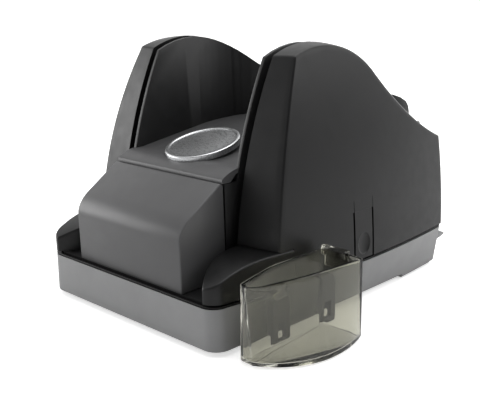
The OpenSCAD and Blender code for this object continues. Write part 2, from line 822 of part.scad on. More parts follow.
module shaft(p) {
    color("silver") machine() translate([p[0], p[1], belt_z - 1])
        cylinder(r = shaft_r, h = roller_z + roller_h + 3 - belt_z + 1);
}
module tyre(p, r, r_in) {
    translate([p[0], p[1], roller_z]) difference() {
        cylinder(r = r, h = roller_h);
        translate([0, 0, -1]) cylinder(r = r_in, h = roller_h + 2);
    }
}
module entry_shaft() {
    shaft(shaft_at[0]);
}
module turn_shaft() {
    shaft(shaft_at[1]);
}
module exit_shaft() {
    shaft(shaft_at[2]);
}
module entry_roller() {
    color([0.1, 0.1, 0.1]) machine() tyre(shaft_at[0], drive_r, shaft_r);
}
module turn_roller() {
    color([0.1, 0.1, 0.1]) machine() tyre(shaft_at[1], drive_r, shaft_r);
}
module exit_roller() {
    color([0.1, 0.1, 0.1]) machine() tyre(shaft_at[2], drive_r, shaft_r);
}
module shaft_bushes() {
    color([0.85, 0.83, 0.75]) machine() for (p = shaft_at)
        translate([p[0], p[1], seam_z - deck_t]) difference() {
            union() {
                cylinder(r = bush_r, h = deck_t + 3);
                translate([0, 0, deck_t]) cylinder(r = bush_r + 1, h = 1);
            }
            translate([0, 0, -1]) cylinder(r = shaft_r + run, h = 20);
        }
}

// Pinch unit: roller on an axle in a forked arm that swings on a fixed pivot.
// It is drawn beside the entry leg and turned or mirrored to the other two places.
pinch_at = [pinch_off, leg_y];
pivot_at = pinch_at + arm_pivot;
fork_z = roller_z - gap - arm_t;
fork_h = roller_h + 2 * gap + 2 * arm_t;
module at_pinch(i) {
    if (i == 0) children();
    if (i == 1) rotate([0, 0, 90]) translate([0, -leg_y, 0]) children();
    if (i == 2) mirror([1, 0, 0]) children();
}
module pinch_arm(i) {
    turn = atan2(arm_pivot[1], arm_pivot[0]);
    color([0.8, 0.8, 0.82]) machine() at_pinch(i) difference() {
        union() {
            for (z = [fork_z, fork_z + fork_h - arm_t]) {
                translate([pinch_at[0], pinch_at[1], z]) cylinder(r = 3, h = arm_t);
                translate([pivot_at[0], pivot_at[1], z]) cylinder(r = 3.6, h = arm_t);
                translate([pinch_at[0], pinch_at[1], z]) rotate([0, 0, turn])
                    translate([0, -arm_w / 2, 0]) cube([arm_l, arm_w, arm_t]);
            }
            translate([pinch_at[0], pinch_at[1], fork_z]) rotate([0, 0, turn])
                translate([pinch_r + 1, -arm_w / 2, 0]) cube([3, arm_w, fork_h]);
        }
        translate([pinch_at[0], pinch_at[1], 0]) cylinder(r = axle_r, h = 100);
        translate([pivot_at[0], pivot_at[1], 0]) cylinder(r = pivot_r + run, h = 100);
    }
}
module pinch_axle(i) {
    color("silver") machine() at_pinch(i)
        translate([pinch_at[0], pinch_at[1], fork_z - 0.5]) cylinder(r = axle_r, h = fork_h + 1);
}
module pinch_roller(i) {
    color([0.85, 0.85, 0.83]) machine() at_pinch(i) tyre(pinch_at, pinch_r, axle_r + run);
}
module pinch_spring(i) {
    coils = 6;
    half = roller_h / coils / 2;
    r = pivot_r + 0.4;
    color("silver") machine() at_pinch(i) translate([pivot_at[0], pivot_at[1], roller_z])
        for (k = [0:coils - 1])
            translate([0, 0, 2 * half * k]) rotate_extrude() polygon([[r, 0], [r + 0.5, 0],
                [r + 1.1, half], [r + 0.5, 2 * half], [r, 2 * half]]);
}
module pinch_pivots() {
    color("silver") machine() for (i = [0:2]) at_pinch(i)
        translate([pivot_at[0], pivot_at[1], seam_z])
            cylinder(r = pivot_r, h = fork_z + fork_h + 2 - seam_z);
}
module entry_pinch_arm() {
    pinch_arm(0);
}
module entry_pinch_roller() {
    pinch_roller(0);
}
module entry_pinch_axle() {
    pinch_axle(0);
}
module entry_pinch_spring() {
    pinch_spring(0);
}
module turn_pinch_arm() {
    pinch_arm(1);
}
module turn_pinch_roller() {
    pinch_roller(1);
}
module turn_pinch_axle() {
    pinch_axle(1);
}
module turn_pinch_spring() {
    pinch_spring(1);
}
module exit_pinch_arm() {
    pinch_arm(2);
}
module exit_pinch_roller() {
    pinch_roller(2);
}
module exit_pinch_axle() {
    pinch_axle(2);
}
module exit_pinch_spring() {
    pinch_spring(2);
}

// Reading and marking parts beside the path
module magnet_bar() {
    color([0.5, 0.5, 0.52]) machine() translate([inner_r - 6.6, magnet_y, seam_z])
        cube([6, magnet_l, magnet_h]);
}
module read_head() {
    color([0.7, 0.7, 0.72]) machine() translate([0, head_y, seam_z]) union() {
        translate([outer_r + 0.4, 0, 1.3]) cube([10, head_l, head_h]);
        translate([outer_r + 6, -1.6, 0]) cube([12, head_l + 3.2, head_h + 4.6]);
    }
}
module front_image_sensor() {
    color([0.2, 0.22, 0.24]) machine() union() {
        translate([outer_r + 0.4, front_eye_y, seam_z + 1.2]) cube([eye_t, front_eye_l, front_eye_h]);
        translate([outer_r + 3, front_eye_y - 0.2, seam_z]) cube([eye_t - 2.6, front_eye_l + 0.4, 2]);
    }
}
module back_image_sensor() {
    color([0.2, 0.22, 0.24]) machine() union() {
        translate([-inner_r + 0.4, back_eye_y, seam_z + 1.2]) cube([eye_t, back_eye_l, back_eye_h]);
        translate([-inner_r + 3, back_eye_y - 0.2, seam_z]) cube([eye_t - 2.6, back_eye_l + 0.4, 2]);
    }
}

// Printing cartridge in its cradle, behind the turn
cradle_l = 24;
cradle_w = 20;
module at_nozzle(z) {
    rotate([0, 0, 120]) translate([guide_out + gap, 0, z]) children();
}
module cartridge_cradle() {
    color([0.11, 0.11, 0.12]) machine() at_nozzle(seam_z) difference() {
        translate([0, -cradle_w / 2, 0]) cube([cradle_l, cradle_w, 30]);
        translate([-1, -cradle_w / 2 + 2, nozzle_z - 0.6 - seam_z])
            cube([cradle_l - 1, cradle_w - 4, 20]);
    }
}
module ink_cartridge() {
    w = cradle_w - 4 - 2 * gap;
    color([0.07, 0.07, 0.08]) machine() at_nozzle(nozzle_z - 0.6) union() {
        translate([2 * gap, -w / 2, 0]) cube([cradle_l - 3, w, 34]);
        translate([-2.4, -5.4, 2]) cube([4, 10.8, 18]);
    }
}

// Arc that is upright at x = reach, y = mid, and has its other end at p
function bow(reach, mid, p, n) =
    let (dx = reach - p[0], dy = p[1] - mid, r = (dx * dx + dy * dy) / (2 * dx), a = atan2(dy, r - dx))
    arc([reach - r, mid], r, dy < 0 ? a : 0, dy < 0 ? 0 : a, n);

// Pocket in plan, d inside: the foot bulges outward and ends in a flat front, the rim runs to a tip
module pocket_foot(d) {
    front = pocket_back - pocket_l + 6.3;
    mid = pocket_back - 26.5;
    offset(delta = -d) polygon(concat([[pocket_in, pocket_back], [pocket_in, front]],
        bow(pocket_x, mid, [pocket_in + 8.7, front - 0.5], 10),
        bow(pocket_x, mid, [pocket_x - 5.6, pocket_back], 6)));
}
module pocket_rim(d) {
    tip = pocket_back - pocket_l;
    offset(delta = -d) polygon(concat([[pocket_in, pocket_back], [pocket_in, tip + 28.5],
        [pocket_in + 6.4, tip + 1.6], [pocket_in + 9.7, tip]],
        arc([pocket_in + 10.5, tip + 6.7], 6.7, -80, -16, 4),
        bow(pocket_x - 4.7, pocket_back, [pocket_x - 14, tip + 5.3], 10)));
}
module pocket_form(d, z0, z1) {
    hull() {
        translate([0, 0, z0]) linear_extrude(0.01) pocket_foot(d);
        translate([0, 0, z1 - 0.01]) linear_extrude(0.01) pocket_rim(d);
    }
}
module side_pocket() {
    hook_z = seam_z - 1.2;
    color([0.45, 0.45, 0.42, 0.5]) machine() union() {
        difference() {
            pocket_form(0, pocket_floor, pocket_floor + pocket_h);
            translate([0, 0, pocket_t]) pocket_form(pocket_t, pocket_floor, pocket_floor + pocket_h);
        }
        translate([pocket_in - 2.6, bracket_y[0] - 4, hook_z]) cube([3, 8, 2.4]);
    }
}
// Spring strip that hooks over the pocket's back wall
module pocket_clip() {
    z = pocket_floor + pocket_h;
    y = pocket_back + gap;
    y_in = y - 2 * gap - pocket_t;
    x0 = pocket_in + pocket_t + gap;
    color([0.62, 0.62, 0.58, 0.7]) machine() union() {
        along_x(x0, pocket_in + clip_l)
            polygon([[y, z - 9], [y, z + gap], [y_in, z + gap], [y_in, z - 2.4], [y_in - 1.2, z - 2.4],
                [y_in - 1.2, z + 1], [y_in - 0.8, z + 1.4], [y + 1.2, z + 1.4], [y + 1.6, z + 1],
                [y + 1.6, z - 9]]);
        along_x(x0, x0 + 3) polygon([[y_in - 1.2, z + 0.8], [y_in - 0.6, z + 2.2], [y_in + 1, z + 2.4],
            [y + 1.6, z + 1.4], [y + 1.6, z + 0.8]]);
    }
}
module pocket_brackets() {
    x1 = pocket_in - gap;
    color([0.2, 0.2, 0.2]) machine() for (y = bracket_y) {
        top = seam_z - 1.5;
        foot_x = base_half_w + 3.6;
        top_x = side_x(y + bracket_w / 2) + gap;
        difference() {
            translate([0, y + bracket_w / 2, 0]) rotate([90, 0, 0]) linear_extrude(bracket_w)
                polygon([[foot_x, foot_h + 3.5], [top_x, top], [x1, top], [x1, 0.6], [x1 - 2.6, 0.6],
                    [x1 - 2.6, foot_h + 3.5]]);
            translate([base_half_w - 11, y - 2.6, foot_h + 0.7]) cube([30, 5.2, 8.4]);
        }
    }
}

base_tray();
rubber_feet();
deck();
deck_screws();
connector_hood();
main_board();
power_inlet();
usb_socket();
inner_guide();
outer_guide();
centre_cover();
badge();
front_fascia();
entry_nose();
exit_nose();
right_cover();
left_cover();
right_latch();
left_latch();
rear_housing();
rear_cover();
rear_hinge_pins();
drive_motor();
motor_shaft();
motor_pulley();
drive_belt();
entry_shaft();
entry_roller();
entry_pulley();
turn_shaft();
turn_roller();
turn_pulley();
exit_shaft();
exit_roller();
exit_pulley();
shaft_bushes();
pinch_pivots();
entry_pinch_arm();
entry_pinch_roller();
entry_pinch_axle();
entry_pinch_spring();
turn_pinch_arm();
turn_pinch_roller();
turn_pinch_axle();
turn_pinch_spring();
exit_pinch_arm();
exit_pinch_roller();
exit_pinch_axle();
exit_pinch_spring();
magnet_bar();
read_head();
front_image_sensor();
back_image_sensor();
ink_cartridge();
cartridge_cradle();
side_pocket();
pocket_clip();
pocket_brackets();
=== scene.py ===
"""Looks of the cheque scanner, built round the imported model."""

import json
import math

import bmesh
import bpy
import numpy as np
from mathutils import Matrix, Vector


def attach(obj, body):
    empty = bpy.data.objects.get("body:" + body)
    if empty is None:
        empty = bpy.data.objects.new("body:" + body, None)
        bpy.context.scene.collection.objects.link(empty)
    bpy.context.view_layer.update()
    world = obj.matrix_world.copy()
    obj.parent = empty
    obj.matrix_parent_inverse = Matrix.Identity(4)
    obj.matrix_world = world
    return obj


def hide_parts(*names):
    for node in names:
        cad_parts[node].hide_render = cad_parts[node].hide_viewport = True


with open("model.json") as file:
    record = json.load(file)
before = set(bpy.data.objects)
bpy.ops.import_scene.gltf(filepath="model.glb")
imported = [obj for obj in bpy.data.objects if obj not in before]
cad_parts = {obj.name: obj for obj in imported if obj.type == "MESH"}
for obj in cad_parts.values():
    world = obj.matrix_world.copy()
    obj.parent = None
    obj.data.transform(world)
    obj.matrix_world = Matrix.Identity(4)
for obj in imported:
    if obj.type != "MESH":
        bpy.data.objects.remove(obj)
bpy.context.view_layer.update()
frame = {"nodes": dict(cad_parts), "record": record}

# ---------------------------------------------------------------- sizes, in millimetres
# The machine's own frame: x to its right side, y to its back, z up from the table. Its mirror
# plane is x = 0. The shift leads from there to the part's frame.
MM = 0.001
SHIFT_X, SHIFT_Y = -16.5, -4.0

HALF_W, SEAM_Z, WALL, GAP = 78.0, 26.0, 2.4, 0.3
SIDE_R, SIDE_Y, BARREL_R = 590.0, 10.0, 430.0  # bow of a side face in plan, its middle, and upwards
INNER_R, OUTER_R = 43.6, 48.1  # the slot's two faces round the centre block
GUIDE_IN, GUIDE_OUT = 41.6, 50.1  # the far faces of its two walls
TOWER_H, TOWER_FRONT = 143.5, 58.7
FRONT_R, FRONT_Z, BEVEL = 260.0, 16.3, math.radians(8)  # bow and slant of the towers' front face
CREST_Y, BROW_R, CREST_R, TAIL_R, TAIL_A = 3.0, 62.0, 47.0, 157.0, math.radians(50)
FRONT_Y, BACK_Y = 95.0, 95.0
NOSE_Z, NOSE_BACK, NOSE_FLAT, NOSE_TOP_R = 44.5, -44.0, -60.0, 68.0
CORNER_R = 9.0  # front corners of noses and base
COVER_Z, RIM_Z = 26.5, 25.6  # lower edge of the covers, upper edge of the base

BROW_C = (-CREST_Y, TOWER_H - BROW_R)
CREST_C = (-CREST_Y, TOWER_H - CREST_R)
TAIL_C = (
    CREST_C[0] + (CREST_R + TAIL_R) * math.sin(TAIL_A),
    CREST_C[1] + (CREST_R + TAIL_R) * math.cos(TAIL_A),
)


def spot(x, y, z):
    """A point of the machine frame, in metres of the part's frame."""
    return ((x + SHIFT_X) * MM, (y + SHIFT_Y) * MM, z * MM)


def side_x(y, z=SEAM_Z):
    """Reach of the covers' outer face."""
    h = max(0.0, z - SEAM_Z)
    r = SIDE_R - BARREL_R + math.sqrt(BARREL_R**2 - h * h)
    return HALF_W - SIDE_R + math.sqrt(r * r - (y - SIDE_Y) ** 2)


def front_edge(x, z):
    """Front face of the towers."""
    g = FRONT_R - math.sqrt(FRONT_R**2 - (z - FRONT_Z) ** 2)
    return -TOWER_FRONT + g / math.cos(BEVEL) + (x - OUTER_R) * math.tan(BEVEL)


def top_z(y):
    """Height of the towers' top line."""
    if y < BROW_C[0]:
        return BROW_C[1] + math.sqrt(BROW_R**2 - (y - BROW_C[0]) ** 2)
    if y < CREST_C[0] + CREST_R * math.sin(TAIL_A):
        return CREST_C[1] + math.sqrt(CREST_R**2 - (y - CREST_C[0]) ** 2)
    return TAIL_C[1] - math.sqrt(TAIL_R**2 - (TAIL_C[0] - y) ** 2)


# ---------------------------------------------------------------- mesh helpers
def placed(name, data):
    """A new object in the scene."""
    ob = bpy.data.objects.new(name, data)
    bpy.context.scene.collection.objects.link(ob)
    return ob


def smooth(ob, angle=32):
    """Smooth shading, except across edges sharper than the angle."""
    for p in ob.data.polygons:
        p.use_smooth = True
    ob.data.set_sharp_from_angle(angle=math.radians(angle))


def make(name, verts, faces, angle=32):
    """A new mesh object from machine-frame points."""
    me = bpy.data.meshes.new(name)
    me.from_pydata([spot(*v) for v in verts], [], faces)
    me.validate()
    ob = placed(name, me)
    bm = bmesh.new()
    bm.from_mesh(me)
    bmesh.ops.remove_doubles(bm, verts=bm.verts, dist=1e-6)
    bmesh.ops.recalc_face_normals(bm, faces=bm.faces)
    bm.to_mesh(me)
    bm.free()
    smooth(ob, angle)
    return ob


def baked(ob, angle=32):
    """Applies the object's modifiers."""
    dg = bpy.context.evaluated_depsgraph_get()
    dg.update()
    me = bpy.data.meshes.new_from_object(ob.evaluated_get(dg))
    old = ob.data
    ob.modifiers.clear()
    ob.data = me
    me.name = ob.name
    bpy.data.meshes.remove(old)
    smooth(ob, angle)
    return ob


def cut(ob, cutters, keep=False, solver="EXACT"):
    """Takes the cutters away from the object, or keeps what lies inside them."""
    for c in cutters:
        m = ob.modifiers.new("cut", "BOOLEAN")
        m.operation = "INTERSECT" if keep else "DIFFERENCE"
        m.solver = solver
        m.object = c
    baked(ob)
    for c in cutters:
        bpy.data.objects.remove(c)
    return ob


def rounded(ob, width, segments=3, angle=35):
    """Rounds the edges that are sharper than the angle."""
    m = ob.modifiers.new("round", "BEVEL")
    m.width = width * MM
    m.segments = segments
    m.limit_method = "ANGLE"
    m.angle_limit = math.radians(angle)
    m.miter_outer = "MITER_ARC"
    m.harden_normals = False
    return baked(ob)


def walled(ob, thickness, even=False):
    """Gives an open skin a wall on its inner side."""
    m = ob.modifiers.new("wall", "SOLIDIFY")
    m.thickness = thickness * MM
    m.offset = -1
    m.use_even_offset = even
    return baked(ob, 40)


def facing_right(ob):
    """Turns the skin of a right-hand piece so that its faces look outwards."""
    if sum(p.normal.x * p.area for p in ob.data.polygons) < 0:
        ob.data.flip_normals()


def joined(ob, others):
    """Puts the others' meshes into the object's."""
    bm = bmesh.new()
    for o in [ob] + others:
        bm.from_mesh(o.data)
    bm.to_mesh(ob.data)
    bm.free()
    for o in others:
        bpy.data.objects.remove(o)
    return ob


def softened(node, name, width):
    """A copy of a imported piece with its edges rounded."""
    src = frame["nodes"][node]
    ob = placed(name, src.data.copy())
    ob.data.name = name
    ob.data.transform(src.matrix_world)
    bm = bmesh.new()
    bm.from_mesh(ob.data)
    bmesh.ops.remove_doubles(bm, verts=bm.verts, dist=2e-6)
    bmesh.ops.dissolve_limit(bm, angle_limit=math.radians(1.0), verts=bm.verts, edges=bm.edges)
    bm.to_mesh(ob.data)
    bm.free()
    return rounded(ob, width, 2, 30)


def mirrored(ob, name):
    """A copy on the other side of the machine's mirror plane."""
    new = placed(name, ob.data.copy())
    new.data.name = name
    co = np.zeros(len(new.data.vertices) * 3, np.float32)
    new.data.vertices.foreach_get("co", co)
    co = co.reshape(-1, 3)
    co[:, 0] = 2 * SHIFT_X * MM - co[:, 0]
    new.data.vertices.foreach_set("co", co.ravel())
    new.data.flip_normals()
    new.data.update()
    return new


def prism(name, outline, axis, lo, hi):
    """A straight prism: outline points in the other two axes, from lo to hi along the axis."""
    place = {
        "x": lambda a, b, t: (t, a, b),
        "z": lambda a, b, t: (a, b, t),
    }[axis]
    n = len(outline)
    verts = [place(a, b, t) for t in (lo, hi) for a, b in outline]
    faces = [tuple(range(n)), tuple(range(2 * n - 1, n - 1, -1))]
    faces += [(i, (i + 1) % n, n + (i + 1) % n, n + i) for i in range(n)]
    return make(name, verts, faces)


def block(name, x0, x1, y0, y1, z0, z1):
    """A box, used as a cutter or as a small rib."""
    return prism(name, [(x0, y0), (x1, y0), (x1, y1), (x0, y1)], "z", z0, z1)


def rings(name, loops, capped=True, angle=32):
    """A skin through closed loops of points."""
    n = len(loops[0])
    verts = [p for loop in loops for p in loop]
    faces = []
    for k in range(len(loops) - 1):
        for i in range(n):
            j = (i + 1) % n
            faces.append((k * n + i, k * n + j, (k + 1) * n + j, (k + 1) * n + i))
    if capped:
        faces.append(tuple(range(n)))
        faces.append(tuple(range(len(verts) - 1, len(verts) - 1 - n, -1)))
    return make(name, verts, faces, angle)


def lathe(name, profile, n):
    """A turned piece round the frame's z axis, from a profile of radii and heights."""
    verts = []
    for i in range(n):
        a = 2 * math.pi * i / n
        verts += [(r * math.cos(a), r * math.sin(a), z) for r, z in profile]
    m = len(profile)
    faces = []
    for i in range(n):
        j = (i + 1) % n
        for k in range(m - 1):
            faces.append((i * m + k, j * m + k, j * m + k + 1, i * m + k + 1))
    ob = make(name, verts, faces, 35)
    ob.data.transform(Matrix.Translation(-Vector(spot(0, 0, 0))))
    bm = bmesh.new()
    bm.from_mesh(ob.data)
    bmesh.ops.dissolve_degenerate(bm, dist=1e-7, edges=bm.edges)
    bmesh.ops.remove_doubles(bm, verts=bm.verts, dist=1e-6)
    bmesh.ops.recalc_face_normals(bm, faces=bm.faces)
    bm.to_mesh(ob.data)
    bm.free()
    return ob


def arc(cx, cy, r, a, b, n):
    """Points on an arc from angle a to angle b, in degrees."""
    turns = [math.radians(a + (b - a) * i / n) for i in range(n + 1)]
    return [(cx + r * math.cos(t), cy + r * math.sin(t)) for t in turns]


def blend(p, q, t):
    """The point a share t of the way from p to q."""
    return tuple(p[c] + (q[c] - p[c]) * t for c in (0, 1))


def bend(p, q, r, t):
    """A point of the curve from p to r that q pulls."""
    return tuple((1 - t) ** 2 * p[c] + 2 * t * (1 - t) * q[c] + t * t * r[c] for c in (0, 1))


# ---------------------------------------------------------------- materials
def nodes_of(name):
    """A new material, its node tree and its main shader."""
    mat = bpy.data.materials.new(name)
    mat.use_nodes = True
    nt = mat.node_tree
    return mat, nt, nt.nodes["Principled BSDF"]


def noise(nt, coord, scale, detail=2.0, rough=0.5):
    """Procedural noise."""
    n = nt.nodes.new("ShaderNodeTexNoise")
    n.inputs["Scale"].default_value = scale
    n.inputs["Detail"].default_value = detail
    n.inputs["Roughness"].default_value = rough
    nt.links.new(coord, n.inputs["Vector"])
    return n.outputs["Fac"]


def span(nt, value, lo, hi, f0=0.3, f1=0.7):
    """Maps a value from f0 and f1 to lo and hi."""
    n = nt.nodes.new("ShaderNodeMapRange")
    n.inputs["From Min"].default_value = f0
    n.inputs["From Max"].default_value = f1
    n.inputs["To Min"].default_value = lo
    n.inputs["To Max"].default_value = hi
    nt.links.new(value, n.inputs["Value"])
    return n.outputs["Result"]


def tint(nt, value, a, b):
    """Mixes two colours."""
    n = nt.nodes.new("ShaderNodeMix")
    n.data_type = "RGBA"
    n.inputs["A"].default_value = (*a, 1)
    n.inputs["B"].default_value = (*b, 1)
    nt.links.new(value, n.inputs["Factor"])
    return n.outputs["Result"]


def grained(nt, bsdf, height, strength, distance):
    """A fine relief on the shader's normal."""
    b = nt.nodes.new("ShaderNodeBump")
    b.inputs["Strength"].default_value = strength
    b.inputs["Distance"].default_value = distance
    nt.links.new(height, b.inputs["Height"])
    nt.links.new(b.outputs["Normal"], bsdf.inputs["Normal"])


def moulded(name, base, rough=0.45, grain=1800.0, bump=0.12, spread=0.12, spec=0.5):
    """Moulded plastic: a fine spark-eroded grain, faint mottling and uneven gloss."""
    mat, nt, bsdf = nodes_of(name)
    coord = nt.nodes.new("ShaderNodeTexCoord").outputs["Object"]
    lo = tuple(c * (1 - spread) for c in base)
    hi = tuple(c * (1 + spread) for c in base)
    gloss = span(nt, noise(nt, coord, 140, 3), rough - 0.04, rough + 0.05)
    nt.links.new(tint(nt, noise(nt, coord, 60, 4), lo, hi), bsdf.inputs["Base Color"])
    nt.links.new(gloss, bsdf.inputs["Roughness"])
    grained(nt, bsdf, noise(nt, coord, grain, 3, 0.6), bump, 0.0001)
    bsdf.inputs["Specular IOR Level"].default_value = spec
    return mat


def metal(name, base, rough=0.3, stretch=(1, 1, 40), grain=500.0, metallic=1.0):
    """Metal with fine drawn lines."""
    mat, nt, bsdf = nodes_of(name)
    coord = nt.nodes.new("ShaderNodeTexCoord").outputs["Object"]
    m = nt.nodes.new("ShaderNodeMapping")
    m.inputs["Scale"].default_value = stretch
    nt.links.new(coord, m.inputs["Vector"])
    fine = noise(nt, m.outputs["Vector"], grain, 2)
    lo = tuple(c * 0.88 for c in base)
    nt.links.new(tint(nt, fine, lo, base), bsdf.inputs["Base Color"])
    nt.links.new(span(nt, fine, rough - 0.08, rough + 0.1), bsdf.inputs["Roughness"])
    bsdf.inputs["Metallic"].default_value = metallic
    grained(nt, bsdf, fine, 0.08, 0.00005)
    return mat


def smoked(name):
    """Clear smoked plastic with a faint haze."""
    mat, nt, bsdf = nodes_of(name)
    coord = nt.nodes.new("ShaderNodeTexCoord").outputs["Object"]
    cloud = noise(nt, coord, 30, 2)
    colour = tint(nt, cloud, (0.56, 0.555, 0.49), (0.61, 0.605, 0.54))
    nt.links.new(colour, bsdf.inputs["Base Color"])
    nt.links.new(span(nt, cloud, 0.01, 0.03), bsdf.inputs["Roughness"])
    bsdf.inputs["Transmission Weight"].default_value = 1.0
    bsdf.inputs["IOR"].default_value = 1.45
    bsdf.inputs["Specular IOR Level"].default_value = 0.2
    return mat


MATS = {
    "charcoal_plastic": moulded("charcoal_plastic", (0.006, 0.006, 0.0063), 0.38, spec=0.34),
    "guide_plastic": moulded("guide_plastic", (0.010, 0.010, 0.0105), 0.44, bump=0.05),
    "base_plastic": moulded("base_plastic", (0.27, 0.271, 0.274), 0.42),
    "fascia_plastic": moulded("fascia_plastic", (0.085, 0.085, 0.087), 0.36),
    "foot_rubber": moulded("foot_rubber", (0.015, 0.015, 0.015), 0.8, 900, 0.2),
    "badge_silver": metal("badge_silver", (0.74, 0.75, 0.76), 0.30, (1, 30, 1), 300),
    "smoked_plastic": smoked("smoked_plastic"),
    "bracket_plastic": moulded("bracket_plastic", (0.08, 0.08, 0.08), 0.5),
    "screw_steel": metal("screw_steel", (0.6, 0.6, 0.6), 0.3),
    "board_green": moulded("board_green", (0.02, 0.12, 0.05), 0.35, 600, 0.1, 0.25),
    "socket_black": moulded("socket_black", (0.012, 0.012, 0.012), 0.4),
    "motor_can": metal("motor_can", (0.22, 0.22, 0.23), 0.35, metallic=0.6),
    "shaft_steel": metal("shaft_steel", (0.62, 0.62, 0.63), 0.22),
    "pulley_acetal": moulded("pulley_acetal", (0.62, 0.61, 0.56), 0.35, 700, 0.05, 0.05),
    "belt_rubber": moulded("belt_rubber", (0.012, 0.012, 0.012), 0.7, 900, 0.2),
    "tyre_rubber": moulded("tyre_rubber", (0.02, 0.02, 0.02), 0.75, 1400, 0.25),
    "bush_nylon": moulded("bush_nylon", (0.7, 0.68, 0.58), 0.45, 700, 0.05, 0.05),
    "idler_acetal": moulded("idler_acetal", (0.7, 0.69, 0.64), 0.35, 700, 0.05, 0.05),
    "arm_steel": metal("arm_steel", (0.55, 0.55, 0.56), 0.35),
    "sensor_body": moulded("sensor_body", (0.03, 0.035, 0.04), 0.3, 900, 0.05),
    "head_case": metal("head_case", (0.5, 0.5, 0.5), 0.25),
    "magnet_grey": moulded("magnet_grey", (0.12, 0.12, 0.125), 0.5),
    "cartridge_black": moulded("cartridge_black", (0.015, 0.015, 0.018), 0.2, 500, 0.03),
}


def dress(ob, slot, body):
    """Gives a piece its material and the body that it rides on."""
    ob.data.materials.clear()
    ob.data.materials.append(MATS[slot])
    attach(ob, body)
    return ob


SLOT_OF = {s["node"]: s["material_slot"] for s in frame["record"]["subparts"]}
for name, ob in frame["nodes"].items():
    ob.data.materials.clear()
    ob.data.materials.append(MATS[SLOT_OF[name]])


# ---------------------------------------------------------------- towers' side covers
COVER_IN = 14.0  # inner end of the cover's strip, trimmed to the outer wall later
COVER_FRONT = NOSE_BACK + GAP  # where the cover's lower edge steps up over the nose
COVER_NOSE_Z = NOSE_Z + GAP
COVER_ROUND = 0.9  # rounding of the outer edge
EDGE_DROP = 1.7  # the top line sinks by this much at the outer edge
FRONT_ROWS, TOP_ROWS, BACK_ROWS = 46, 90, 24
SIDE_CENTRE = (14.0, 62.0)  # y and z that the side face's rings close on
REAR_X, REAR_LID_X, REAR_Y = 20.0, 64.3, 50.4  # the opening for the rear lid
SLIT_HALF, SLIT_TOP = 8.75, 54.0  # the tongue with the slits on both its sides
GROOVE_Y, GROOVE_HALF, GROOVE_DEPTH = 8.05, 0.65, 0.14  # faint marks above the slits
GROOVE_Z, GROOVE_H, GROOVE_ROWS = 53.5, 7.5, 12


def front_corner(z):
    """Outer front edge of the towers at a height."""
    x = 70.0
    for _ in range(30):
        x = side_x(front_edge(x, z), z)
    return x, front_edge(x, z)


def cover_rows():
    """Rows of the strip: its face, y and z at the inner end, x, y and z at the outer edge."""
    z_c = 130.0
    for _ in range(40):
        z_c = top_z(front_edge(OUTER_R, z_c))
    rows = []
    for i in range(FRONT_ROWS):
        z = COVER_NOSE_Z + (z_c - COVER_NOSE_Z) * i / FRONT_ROWS
        x, y = front_corner(z)
        rows.append(("front", front_edge(COVER_IN, z), z, x, y, z))
    y_a, y_b = front_edge(COVER_IN, z_c), front_corner(z_c - 0.3)[1]
    for i in range(TOP_ROWS + 1):
        t = i / TOP_ROWS
        ya = y_a + (BACK_Y - y_a) * t
        yb = y_b + (BACK_Y - y_b) * t
        zb = top_z(yb) - EDGE_DROP * min(1.0, 0.3 + t * 3) * (1 - 0.4 * t)
        rows.append(("top", ya, top_z(max(ya, NOSE_FLAT)), side_x(yb, zb), yb, zb))
    z_end, z_in = rows[-1][5], top_z(BACK_Y)
    for i in range(1, BACK_ROWS + 1):
        z = z_end + (COVER_Z - z_end) * i / BACK_ROWS
        za = z_in + (COVER_Z - z_in) * i / BACK_ROWS
        rows.append(("back", BACK_Y, za, side_x(BACK_Y, z), BACK_Y, z))
    return rows


def row_points(kind, ya, za, xb, yb, zb):
    """Points of one row, from the inner end to the outer edge."""
    out = []
    xs = [COVER_IN, 30.0, OUTER_R]
    xs += [OUTER_R + (xb - OUTER_R) * f for f in (0.25, 0.5, 0.78, 1.0)]
    for x in xs:
        u = max(0.0, (x - OUTER_R) / (xb - OUTER_R))
        if kind == "top":
            y = ya + (yb - ya) * (x - COVER_IN) / (xb - COVER_IN)
            z = top_z(max(y, NOSE_FLAT)) - (top_z(yb) - zb) * u * u
        elif kind == "front":
            y, z = front_edge(x, zb), zb
        else:
            y, z = BACK_Y, za + (zb - za) * u
        out.append((x, y, z))
    return out


def cover_foot(y_front):
    """Lower edge of the side face, from the back to the front."""
    out = [(BACK_Y + (COVER_FRONT - BACK_Y) * i / 46, COVER_Z) for i in range(1, 47)]
    rise = COVER_NOSE_Z - COVER_Z
    out += [(COVER_FRONT, COVER_Z + rise * i / 8) for i in range(1, 9)]
    step = y_front - COVER_FRONT
    out += [(COVER_FRONT + step * i / 6, COVER_NOSE_Z) for i in range(1, 6)]
    return out


